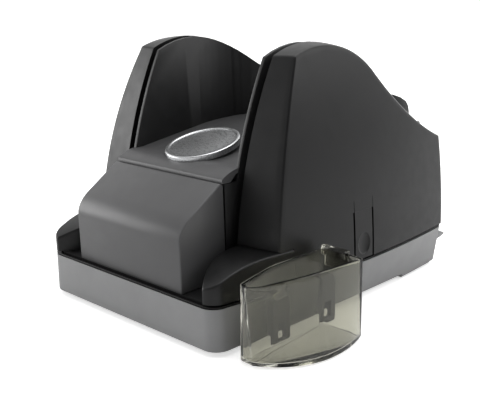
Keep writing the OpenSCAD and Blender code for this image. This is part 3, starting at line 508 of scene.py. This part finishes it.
def cover_skin():
    """Open skin of the right cover: front, top and back in one strip, then the side face."""
    rows = cover_rows()
    cols = [row_points(*row) for row in rows]
    m = len(cols[0])
    verts = [p for col in cols for p in col]
    faces = []
    for i in range(len(cols) - 1):
        for j in range(m - 1):
            a = i * m + j
            faces.append((a, a + 1, a + m + 1, a + m))
    foot = cover_foot(rows[0][4])
    loop = [(col[-1][1], col[-1][2]) for col in cols] + foot
    prev = [i * m + m - 1 for i in range(len(cols))]
    for y, z in foot:
        verts.append((side_x(y, z), y, z))
        prev.append(len(verts) - 1)
    cy, cz = SIDE_CENTRE
    k = len(loop)
    # each ring lies a least distance and a least share of the way in from the edge
    steps = [(3.2, 0.0), (7.0, 0.0)]
    steps += [(9.0, share) for share in (0.2, 0.32, 0.45, 0.58, 0.7, 0.82, 0.92)]
    for least, share in steps:
        ring = []
        for y, z in loop:
            f = max(share, least / math.hypot(cy - y, cz - z))
            yy, zz = y + (cy - y) * f, z + (cz - z) * f
            verts.append((side_x(yy, zz), yy, zz))
            ring.append(len(verts) - 1)
        for i in range(k):
            j = (i + 1) % k
            faces.append((prev[i], prev[j], ring[j], ring[i]))
        prev = ring
    verts.append((side_x(cy, cz), cy, cz))
    faces += [(prev[i], prev[(i + 1) % k], len(verts) - 1) for i in range(k)]
    ob = make("tower_cover_right", verts, faces, 40)
    facing_right(ob)
    return ob


def edge_rounded(ob, width):
    """Rounds the edges inside the skin and leaves its open border."""
    bm = bmesh.new()
    bm.from_mesh(ob.data)
    layer = bm.edges.layers.float.new("bevel_weight_edge")
    for e in bm.edges:
        if len(e.link_faces) == 2 and e.calc_face_angle() > math.radians(35):
            e[layer] = 1.0
    bm.to_mesh(ob.data)
    bm.free()
    b = ob.modifiers.new("round", "BEVEL")
    b.limit_method = "WEIGHT"
    b.width = width * MM
    b.segments = 4
    return baked(ob, 40)


def groove(name, y):
    """Cutter for a faint upright mark that fades out at its top."""
    loops = []
    for k in range(GROOVE_ROWS + 1):
        z = GROOVE_Z + GROOVE_H * k / GROOVE_ROWS
        x = side_x(y, z) - GROOVE_DEPTH * min(1.0, (GROOVE_ROWS - k) / 3)
        y0, y1 = y - GROOVE_HALF, y + GROOVE_HALF
        loops.append([(x, y0, z), (x, y1, z), (x + 4, y1, z), (x + 4, y0, z)])
    return rings(name, loops)


def cover_shell():
    """Right side cover: skin, rounding, wall, then its openings."""
    ob = walled(edge_rounded(cover_skin(), COVER_ROUND), WALL, even=True)
    r = GUIDE_OUT + GAP
    path = [(-REAR_X, -90), (OUTER_R, -90), (OUTER_R, 0), (r, 0)]
    path += arc(0, 0, r, 0, math.degrees(math.acos(REAR_X / r)), 40)[1:]
    path += [(REAR_X, REAR_Y), (REAR_LID_X, REAR_Y), (REAR_LID_X, 120), (-REAR_X, 120)]
    cutters = [
        prism("c1", path, "z", -10, 200),
        block("c3", 60, 90, SIDE_Y - SLIT_HALF, SIDE_Y + SLIT_HALF, 0, SLIT_TOP),
    ]
    grooves = [groove("g0", SIDE_Y - GROOVE_Y), groove("g1", SIDE_Y + GROOVE_Y)]
    cut(ob, cutters, solver="FAST")
    cut(ob, grooves)
    smooth(ob, 30)
    return ob


right = cover_shell()
left = mirrored(right, "tower_cover_left")
dress(right, "charcoal_plastic", "right_cover_body")
dress(left, "charcoal_plastic", "left_cover_body")
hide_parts("right_cover")
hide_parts("left_cover")

# ---------------------------------------------------------------- latches
TONGUE_HALF, TONGUE_LO, TONGUE_HI = 7.35, COVER_Z + 0.4, 53.97
TONGUE_WALL, TONGUE_COLS, TONGUE_ROWS = 2.2, 48, 84
DIMPLE_Z, DIMPLE_Y_R, DIMPLE_Z_R, DIMPLE_DEPTH = 35.2, 5.0, 6.0, 1.15


def latch_shell():
    """Right snap tongue with its finger dimple, and the toe that holds it in the base."""
    y0, y1 = SIDE_Y - TONGUE_HALF, SIDE_Y + TONGUE_HALF
    ny, nz = TONGUE_COLS, TONGUE_ROWS
    verts, faces = [], []
    for i in range(nz + 1):
        z = TONGUE_LO + (TONGUE_HI - TONGUE_LO) * i / nz
        for j in range(ny + 1):
            y = y0 + (y1 - y0) * j / ny
            q = math.hypot((y - SIDE_Y) / DIMPLE_Y_R, (z - DIMPLE_Z) / DIMPLE_Z_R)
            dip = DIMPLE_DEPTH * (1 - q * q) ** 0.5 if q < 1 else 0.0
            verts.append((side_x(y, z) - dip, y, z))
    for i in range(nz):
        for j in range(ny):
            a = i * (ny + 1) + j
            faces.append((a, a + 1, a + ny + 2, a + ny + 1))
    ob = make("latch_tongue_right", verts, faces, 30)
    facing_right(ob)
    walled(ob, TONGUE_WALL)
    y0, y1 = y0 + 2, y1 - 2
    toe = block("toe", HALF_W - 5.5, HALF_W - 4.1, y0, y1, SEAM_Z - 4, SEAM_Z + 4)
    ledge = block("ledge", HALF_W - 4.5, HALF_W - 1.7, y0, y1, SEAM_Z + 2, SEAM_Z + 4)
    return joined(ob, [rounded(part, 0.3, 2) for part in (toe, ledge)])


tongue = latch_shell()
tongue_left = mirrored(tongue, "latch_tongue_left")
dress(tongue, "charcoal_plastic", "right_latch_body")
dress(tongue_left, "charcoal_plastic", "left_latch_body")
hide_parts("right_latch")
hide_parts("left_latch")

# ---------------------------------------------------------------- noses
NOSE_LO = SEAM_Z + 0.9
NOSE_FILLET, NIB, NIB_W = 1.0, 0.8, 0.9  # top edge, blunt front end and its width
NOSE_STEP = 1.2  # distance of the stations along y
MOUTH_R = 50.0  # flare of the slot's mouth
POST_X, POST_Y, POST_R, POST_Z = 52.0, -40.0, 8.6, 29.7  # room for the roller behind the nose


def nose_shell():
    """Right nose: from its blunt tip back to the tower, beside the flared mouth."""
    yc = -FRONT_Y + CORNER_R
    cx = side_x(yc) - CORNER_R

    def x_out(y):
        if y < yc:
            return cx + math.sqrt(max(0.0, CORNER_R**2 - (y - yc) ** 2))
        return side_x(y)

    def x_in(y):
        if y > NOSE_FLAT:
            return OUTER_R
        return OUTER_R + MOUTH_R - math.sqrt(MOUTH_R**2 - (y - NOSE_FLAT) ** 2)

    tip = -FRONT_Y
    while x_out(tip) - x_in(tip) < NIB_W:
        tip += 0.05

    def height(y):
        z = NOSE_Z
        if y <= NOSE_FLAT:
            z = NOSE_Z - NOSE_TOP_R + math.sqrt(NOSE_TOP_R**2 - (y - NOSE_FLAT) ** 2)
        e = y - tip
        return z - (NIB - math.sqrt(max(0.0, NIB**2 - (NIB - e) ** 2)) if e < NIB else 0.0)

    stations = [tip + NIB * (1 - math.cos(math.radians(90 * i / 8))) for i in range(9)]
    y = stations[-1]
    while y < NOSE_BACK - 1.5:
        y += NOSE_STEP
        stations.append(min(y, NOSE_BACK))
    if stations[-1] < NOSE_BACK:
        stations.append(NOSE_BACK)
    loops = []
    for y in stations:
        a, b, z = x_in(y), x_out(y), height(y)
        r = min(NOSE_FILLET, (b - a) / 2.1, (z - NOSE_LO) / 2)
        half = NOSE_LO + (z - r - NOSE_LO) * 0.5
        ring = [(a, y, NOSE_LO), (a, y, half)]
        ring += [(p[0], y, p[1]) for p in arc(a + r, z - r, r, 180, 90, 6)]
        ring += [(a + r + (b - a - 2 * r) * 0.5, y, z)]
        ring += [(p[0], y, p[1]) for p in arc(b - r, z - r, r, 90, 0, 6)]
        ring += [(b, y, half), (b, y, NOSE_LO)]
        loops.append(ring)
    ob = rings("nose_right", loops, angle=38)
    room = prism("c", arc(POST_X, POST_Y, POST_R, 0, 360, 32)[:-1], "z", POST_Z, 80)
    return cut(ob, [room], solver="FAST")


nose = nose_shell()
nose_left = mirrored(nose, "nose_left")
dress(nose, "charcoal_plastic", "machine")
dress(nose_left, "charcoal_plastic", "machine")
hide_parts("entry_nose")
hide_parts("exit_nose")

# ---------------------------------------------------------------- centre block
VALLEY_FRONT, VALLEY_Z, VALLEY_A = -52.0, 90.0, math.radians(7.5)
VALLEY_BACK = 50.0
LIP_Y, LIP_Z = -62.0, 79.2
SEAM_GAP = 0.15  # from the centre block to the slot's inner wall
BADGE_R, BADGE_Y, BADGE_A = 21.5, -34.8, math.radians(13.5)
BADGE_RISE = 0.9  # the badge's underside above the valley floor, at its middle


def valley(y):
    """Height of the valley floor."""
    return VALLEY_Z + y * math.tan(VALLEY_A)


def on_valley(ob):
    """Puts a turned piece on the valley floor, at the badge's place and slant."""
    place = Vector(spot(0, BADGE_Y, valley(BADGE_Y) + BADGE_RISE))
    ob.data.transform(Matrix.Translation(place) @ Matrix.Rotation(BADGE_A, 4, "X"))
    ob.data.update()
    return ob


def centre_shell():
    """Valley floor with its lip, trimmed to the slot's inner wall, with the badge's seat."""
    front_z = valley(VALLEY_FRONT)
    top = [(LIP_Y, LIP_Z - WALL), (LIP_Y, LIP_Z - 1.6)]
    top += [(LIP_Y + 0.03 * k * k, LIP_Z - 1.6 + 0.42 * k) for k in range(1, 5)]
    y0, z0 = LIP_Y + 1.4, LIP_Z + 0.7
    for i in range(13):
        t = i / 12
        y = y0 + (VALLEY_FRONT + 6 - y0) * t
        z = z0 + (front_z - z0) * math.sin(min(1.0, t * 1.28) * math.pi / 2) ** 0.9
        top.append((y, min(z, valley(y))))
    top.append((VALLEY_BACK, valley(VALLEY_BACK)))
    low = [(VALLEY_BACK, valley(VALLEY_BACK) - WALL), (VALLEY_FRONT, front_z - WALL - 0.3)]
    low += [(LIP_Y + 6, LIP_Z - WALL)]
    half = INNER_R - SEAM_GAP
    ob = prism("centre_block_top", top + low, "x", -half, half)
    r = GUIDE_IN - SEAM_GAP
    plan = [(-50, -46), (-50, -75), (50, -75), (50, -46), (r, -46), (r, 0)]
    plan += arc(0, 0, r, 0, 180, 72)[1:] + [(-r, -46)]
    cut(ob, [prism("keep", plan, "z", 0, 200)], keep=True)
    r = BADGE_R + SEAM_GAP
    seat = lathe("seat", [(0, 0), (r, 0), (r, 20), (0, 20)], 96)
    return cut(ob, [on_valley(seat)])


centre = centre_shell()
dress(centre, "fascia_plastic", "machine")
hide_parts("centre_cover")

RIM_R, RIM_H = 0.9, 2.3  # rounding of the badge's rim, and where it starts
BADGE_TOP = [
    (BADGE_R - 1.9, 3.2),
    (BADGE_R - 2.3, 3.05),
    (BADGE_R - 2.6, 2.7),
    (BADGE_R - 3.0, 2.66),
    (BADGE_R - 6.5, 2.72),
    (8, 2.78),
    (0, 2.8),
]
badge_rim = [
    (BADGE_R - RIM_R + RIM_R * math.cos(a), RIM_H + RIM_R * math.sin(a))
    for a in map(math.radians, (15, 35, 55, 75, 90))
]
badge_outline = [(0, 0), (BADGE_R, 0), (BADGE_R, RIM_H)] + badge_rim + BADGE_TOP
badge = on_valley(lathe("badge_disc", badge_outline, 128))
dress(badge, "badge_silver", "machine")
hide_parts("badge")

APRON_TOP = (LIP_Y + 0.8, LIP_Z - WALL - 0.5)
APRON_FRONT, KNEE_Y, KNEE_Z = -92.0, -88.0, SEAM_Z + 35


def fascia_shell():
    """Sloping apron below the lip: upright front, rounded knee and slope, hollow behind."""
    ty, tz = APRON_TOP
    foot, pull = (APRON_FRONT, KNEE_Z - 9), (APRON_FRONT, KNEE_Z - 1.5)
    slope = (KNEE_Y + 7, KNEE_Z + 4.9)
    outer = [(APRON_FRONT, SEAM_Z), foot]
    outer += [bend(foot, pull, slope, i / 10) for i in range(1, 10)]
    outer += [slope, (LIP_Y - 2.4, LIP_Z - 2.3), (LIP_Y - 1.2, LIP_Z - 1.9)]
    outer += [(ty - 0.8, tz + 0.25), APRON_TOP, (ty, SEAM_Z)]
    ob = prism("fascia_apron", outer, "x", -INNER_R, INNER_R)
    rounded(ob, 1.1, 4, 50)
    back = APRON_FRONT + WALL
    inner = [(back, SEAM_Z - 1), (back, KNEE_Z - 10), (KNEE_Y + 3, KNEE_Z - 3.4)]
    inner += [(ty - 1.5, tz - 3), (ty + 5, tz - 3), (ty + 5, SEAM_Z - 1)]
    return cut(ob, [prism("c", inner, "x", -GUIDE_IN, GUIDE_IN)])


fascia = fascia_shell()
dress(fascia, "fascia_plastic", "machine")
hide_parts("front_fascia")

# ---------------------------------------------------------------- base tray
TRAY_LO, TRAY_HI = 2.5, 24.62
TRAY_HALF_W, TUCK = 71.0, 2.0  # half width of the underside, and how far it narrows to the back
BACK_R, BACK_LEAN = 4.0, 1.5  # back corners, and how far the back face leans


def low_x(y):
    """Half width of the base's underside."""
    return TRAY_HALF_W - TUCK * (max(0.0, y) / BACK_Y) ** 2


def tray_outline(t, inset):
    """Outline of the base: t is 0 at the bottom and 1 at the top."""
    y0, y1 = -FRONT_Y + CORNER_R, BACK_Y - BACK_LEAN * (1 - t) - BACK_R

    def x(y):
        return low_x(y) + (side_x(y) - low_x(y)) * t

    right = arc(x(y0) - CORNER_R, y0, CORNER_R - inset, -90, 0, 12)
    for i in range(1, 40):
        y = y0 + (y1 - y0) * i / 40
        right.append((x(y) - inset, y))
    right += arc(x(y1) - BACK_R, y1, max(0.4, BACK_R - inset), 0, 90, 10)
    back = [(right[-1][0] * f, right[-1][1]) for f in (0.6, 0.2)]
    left = [(-p[0], p[1]) for p in reversed(right + back)]
    front = [(right[0][0] * f, right[0][1]) for f in (-0.6, -0.2, 0.2, 0.6)]
    return right + back + left + front


def tray_rings(prof):
    """Loops round the base through a profile of heights and insets."""
    loops = []
    for z, inset in prof:
        t = min(1.0, (z - TRAY_LO) / (RIM_Z - TRAY_LO))
        loops.append([(x, y, z) for x, y in tray_outline(t, inset)])
    return loops


def skirt(side):
    """Low rib under one side of the base, rising to the back."""
    loops = []
    for k in range(10):
        f = k / 9
        y = BACK_Y - 38.5 + 30.5 * f
        x, z = low_x(y), 0.9 + 1.2 * f
        section = [(x - 3.9, 3.6), (x - 3.9, z), (x - 0.5, z), (x - 0.2, z + 0.25), (x + 0.3, 3.6)]
        loops.append([(side * a, y, c) for a, c in section])
    return rings("skirt", loops, angle=30)


def tray_shell():
    """Base tray: outer face, lip, and the channel behind it that keeps the seam dark."""
    lo, hi = TRAY_LO, TRAY_HI
    prof = [(lo, 1.0), (lo + 0.15, 0.45), (lo + 0.5, 0.12), (lo + 1.0, 0)]
    prof += [(lo + (hi - lo) * f, 0) for f in (0.3, 0.5, 0.7, 0.84, 0.92)]
    prof += [(hi - 0.12, 0), (hi - 0.03, 0.08), (hi, 0.25), (hi - 0.15, 0.6)]
    prof += [(22.4, 0.9), (22.4, 2.5), (lo + 6, 2.5), (lo + 2.5, 3.2)]
    ob = rings("base_tray_shell", tray_rings(prof), angle=30)
    power = block("c1", -30, -20.4, 80, 105, 5.4, 15)
    data = block("c2", 8, 20.6, 80, 105, 5.4, 15)
    cut(ob, [power, data], solver="FAST")
    return joined(ob, [skirt(-1), skirt(1)])


tray = tray_shell()
dress(tray, "base_plastic", "machine")
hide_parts("base_tray")

# ring in the seam, charcoal so that the whole seam reads dark: painted shade on a real bead, with
# grooves that give a line of shadow above and below it
BAND = [(25.82, 0.3), (25.77, 0.1), (25.67, 0.04), (25.42, 0.04), (25.32, 0.12), (25.32, 1.2)]
BAND += [(22.5, 1.4), (22.5, 2.4), (25.1, 2.4), (25.1, 1.6), (25.5, 1.0), (25.82, 0.3)]
band = rings("seam_shade_band", tray_rings(BAND), capped=False, angle=30)
# the charcoal of this ring is painted shade in the seam between base and covers
dress(band, "charcoal_plastic", "machine")


# ---------------------------------------------------------------- side pocket
def bow(reach, mid, p):
    """Arc from p to the place where it is upright, at x = reach and y = mid."""
    dx, dy = reach - p[0], p[1] - mid
    r = (dx * dx + dy * dy) / (2 * dx)
    return arc(reach - r, mid, r, math.degrees(math.atan2(dy, r - dx)), 0, 40)


def even(line, n):
    """The line's points set evenly along it."""
    run = [0.0]
    for p, q in zip(line, line[1:]):
        run.append(run[-1] + math.hypot(q[0] - p[0], q[1] - p[1]))
    out = []
    for i in range(n + 1):
        d = run[-1] * i / n
        k = min(len(line) - 2, max(j for j in range(len(run)) if run[j] <= d + 1e-9))
        f = (d - run[k]) / (run[k + 1] - run[k])
        out.append(blend(line[k], line[k + 1], f))
    return out


def eased(loop, corners, r):
    """Rounds the named corners of a closed outline."""
    n = len(loop)
    out = []
    for i, q in enumerate(loop):
        if i not in corners:
            out.append(q)
            continue
        ends = []
        for p in (loop[i - 1], loop[(i + 1) % n]):
            d = math.hypot(p[0] - q[0], p[1] - q[1])
            ends.append(blend(q, p, min(r, 0.45 * d) / d))
        out += [bend(ends[0], q, ends[1], k / 4) for k in range(5)]
    return out


def shrink(loop, d):
    """Moves a closed outline inwards."""
    n = len(loop)
    nexts = loop[1:] + loop[:1]
    area2 = sum(p[0] * q[1] - q[0] * p[1] for p, q in zip(loop, nexts))
    s = 1 if area2 > 0 else -1
    out = []
    for i in range(n):
        p, q, r = loop[i - 1], loop[i], nexts[i]
        a = (q[0] - p[0], q[1] - p[1])
        b = (r[0] - q[0], r[1] - q[1])
        la, lb = math.hypot(*a), math.hypot(*b)
        na = (-a[1] / la * s, a[0] / la * s)
        nb = (-b[1] / lb * s, b[0] / lb * s)
        k = 1 + na[0] * nb[0] + na[1] * nb[1]
        out.append((q[0] + d * (na[0] + nb[0]) / k, q[1] + d * (na[1] + nb[1]) / k))
    return out


# outlines of the foot and of the rim, point for point: straight back wall, then the bowed front
POCKET_X, POCKET_BACK = 79.8, -27.5
POCKET_LO, POCKET_HI, POCKET_WALL, POCKET_ROWS = 0.8, 42.8, 1.8, 41.0
BACK_BEND, FRONT_BEND = (88.5, -88.7), (105.4, POCKET_BACK)
FOOT = [(POCKET_X, y) for y in (POCKET_BACK, -60.0, -86.5, -88.2)]
FOOT += even(bow(111.0, -54.0, BACK_BEND) + bow(111.0, -54.0, FRONT_BEND)[-2::-1], 60)
TIP = [(POCKET_X, y) for y in (POCKET_BACK, -50.0, -66.0)] + [(86.2, -92.9)]
SPOUT = [(89.5, -94.5)] + arc(90.3, -87.8, 6.7, -80, -16, 16)
TIP += even(SPOUT + bow(106.3, POCKET_BACK, (97.0, -89.2)), 60)


def pocket_shell():
    """Smoked pocket: outer wall, rounded rim, inner wall and floor, and its hook."""
    lo, hi, w, run = POCKET_LO, POCKET_HI, POCKET_WALL, POCKET_ROWS
    prof = [(lo, 1.0), (lo + 0.3, 0.35), (lo + 1.0, 0.0)]
    prof += [(lo + run * f, 0.0) for f in (0.2, 0.4, 0.6, 0.8, 0.95)]
    prof += [(hi - 0.4, 0.0), (hi - 0.1, 0.12), (hi, 0.4)]
    prof += [(hi, w - 0.4), (hi - 0.1, w - 0.12), (hi - 0.4, w)]
    prof += [(lo + run * f, w) for f in (0.9, 0.7, 0.5, 0.3, 0.1)]
    prof += [(lo + w + 0.6, w), (lo + w + 0.15, w + 0.4), (lo + w, w + 1.2)]
    loops = []
    for z, d in prof:
        t = (z - lo) / (hi - lo)
        line = [blend(p, q, t) for p, q in zip(FOOT, TIP)]
        line = eased(shrink(line, d), (0, 3, 4, len(line) - 1), 1.6 - 0.6 * d)
        loops.append([(x, y, z) for x, y in line])
    ob = rings("pocket_shell", loops, angle=28)
    hook = block("hook", 77.2, 80.4, -63.3, -55.3, SEAM_Z - 1.2, SEAM_Z + 1.2)
    return joined(ob, [rounded(hook, 0.3, 2)])


pocket = pocket_shell()
dress(pocket, "smoked_plastic", "pocket_body")
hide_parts("side_pocket")

# ---------------------------------------------------------------- packed forms, edges rounded
# node: name of the piece, rounding, body
SOFT = {
    "rear_cover": ("rear_lid", 0.5, "rear_cover_body"),
    "rear_housing": ("rear_fixed_part", 0.4, "machine"),
    "connector_hood": ("socket_lip", 0.35, "machine"),
    "inner_guide": ("inner_wall", 0.25, "machine"),
    "outer_guide": ("outer_wall", 0.25, "machine"),
    "pocket_clip": ("clip_strip", 0.15, "pocket_body"),
    "pocket_brackets": ("brackets", 0.4, "machine"),
}
for node, (name, width, body) in SOFT.items():
    ob = softened(node, name, width)
    dress(ob, SLOT_OF[node], body)
    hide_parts(node)

# ---------------------------------------------------------------- camera
# solved from the corners of the cheque in the photo
TURN, PITCH, ROLL = math.radians(46.0738), math.radians(15.0510), -0.02995
EYE = (354.30, -349.21, 181.14)
FOCAL_PX, PHOTO_W_PX, SENSOR_W = 864.62, 480, 36


def aim_camera():
    """Camera at the photo's angle."""
    cam = bpy.data.cameras.new("camera")
    cam.sensor_fit = "HORIZONTAL"
    cam.sensor_width = SENSOR_W
    cam.lens = FOCAL_PX / PHOTO_W_PX * SENSOR_W
    cam.clip_start = 0.01
    ob = placed("camera", cam)
    cp = math.cos(PITCH)
    ahead = Vector((-math.sin(TURN) * cp, math.cos(TURN) * cp, -math.sin(PITCH)))
    across = Vector((math.cos(TURN), math.sin(TURN), 0))
    up = across.cross(ahead)
    x_axis = math.cos(ROLL) * across + math.sin(ROLL) * up
    y_axis = -math.sin(ROLL) * across + math.cos(ROLL) * up
    m = Matrix((x_axis, y_axis, -ahead)).transposed().to_4x4()
    m.translation = Vector(spot(*EYE))
    ob.matrix_world = m
    bpy.context.scene.camera = ob


aim_camera()

# ---------------------------------------------------------------- stage and light
FLOOR_HALF = 6.0
FLOOR_GLOW, POCKET_GLOW = 0.6, 0.6  # seen by the camera, and seen through the pocket


def stage():
    """White floor: seen by the camera it is paper white, and it keeps the shadow."""
    h = FLOOR_HALF
    me = bpy.data.meshes.new("floor")
    me.from_pydata([(-h, -h, 0), (h, -h, 0), (h, h, 0), (-h, h, 0)], [], [(0, 1, 2, 3)])
    floor = placed("floor", me)
    mat, nt, bsdf = nodes_of("floor_white")
    coord = nt.nodes.new("ShaderNodeTexCoord").outputs["Object"]
    paper = tint(nt, noise(nt, coord, 3), (0.93, 0.93, 0.93), (0.95, 0.95, 0.95))
    nt.links.new(paper, bsdf.inputs["Base Color"])
    bsdf.inputs["Roughness"].default_value = 0.9
    bsdf.inputs["Specular IOR Level"].default_value = 0.1
    path = nt.nodes.new("ShaderNodeLightPath")
    through = nt.nodes.new("ShaderNodeMath")
    through.operation = "MULTIPLY"
    through.inputs[1].default_value = POCKET_GLOW
    nt.links.new(path.outputs["Is Transmission Ray"], through.inputs[0])
    share = nt.nodes.new("ShaderNodeMath")
    share.operation = "MULTIPLY_ADD"
    share.inputs[1].default_value = FLOOR_GLOW
    nt.links.new(path.outputs["Is Camera Ray"], share.inputs[0])
    nt.links.new(through.outputs[0], share.inputs[2])
    glow = nt.nodes.new("ShaderNodeEmission")
    glow.inputs["Color"].default_value = (1, 1, 1, 1)
    nt.links.new(share.outputs[0], glow.inputs["Strength"])
    add = nt.nodes.new("ShaderNodeAddShader")
    nt.links.new(bsdf.outputs[0], add.inputs[0])
    nt.links.new(glow.outputs[0], add.inputs[1])
    nt.links.new(add.outputs[0], nt.nodes["Material Output"].inputs["Surface"])
    me.materials.append(mat)


stage()

# name: azimuth in degrees, distance, height, width and height of the box in metres, radiance
LIGHTS = {
    "top_light": (90, 0.2, 1.4, 1.2, 1.2, 2.2),
    "left_light": (209, 1.4, 0.30, 0.9, 0.75, 3.4),
    "back_light": (88, 1.5, 0.45, 0.8, 0.7, 2.6),
    "right_light": (38, 1.4, 0.85, 0.9, 0.8, 2.6),
}


def soft_box(name, azimuth, distance, height, wide, high, radiance):
    """A soft box that looks at the machine."""
    light = bpy.data.lights.new(name, "AREA")
    light.shape = "RECTANGLE"
    light.size, light.size_y = wide, high
    light.energy = radiance * math.pi * wide * high
    ob = placed(name, light)
    a = math.radians(azimuth)
    ob.location = (distance * math.cos(a), distance * math.sin(a), height)
    d = Vector((0, 0, 0.07)) - ob.location
    ob.rotation_euler = d.to_track_quat("-Z", "Y").to_euler()


for name, values in LIGHTS.items():
    soft_box(name, *values)


def studio():
    """Even grey room, darker on the camera's side, white where the camera looks into it."""
    world = bpy.data.worlds.new("studio")
    bpy.context.scene.world = world
    world.use_nodes = True
    nt = world.node_tree
    coord = nt.nodes.new("ShaderNodeTexCoord")
    dot = nt.nodes.new("ShaderNodeVectorMath")
    dot.operation = "DOT_PRODUCT"
    dot.inputs[1].default_value = (0.72, -0.69, 0.05)
    nt.links.new(coord.outputs["Generated"], dot.inputs[0])
    level = span(nt, dot.outputs["Value"], 1.0, 0.18, -1.0, 0.9)
    room = nt.nodes["Background"]
    room.inputs["Color"].default_value = (1, 1, 1, 1)
    nt.links.new(level, room.inputs["Strength"])
    white = nt.nodes.new("ShaderNodeBackground")
    white.inputs["Color"].default_value = (1, 1, 1, 1)
    white.inputs["Strength"].default_value = 1.0
    path = nt.nodes.new("ShaderNodeLightPath")
    mix = nt.nodes.new("ShaderNodeMixShader")
    nt.links.new(path.outputs["Is Camera Ray"], mix.inputs[0])
    nt.links.new(room.outputs[0], mix.inputs[1])
    nt.links.new(white.outputs[0], mix.inputs[2])
    nt.links.new(mix.outputs[0], nt.nodes["World Output"].inputs["Surface"])


studio()
bpy.context.scene.view_settings.view_transform = "Standard"
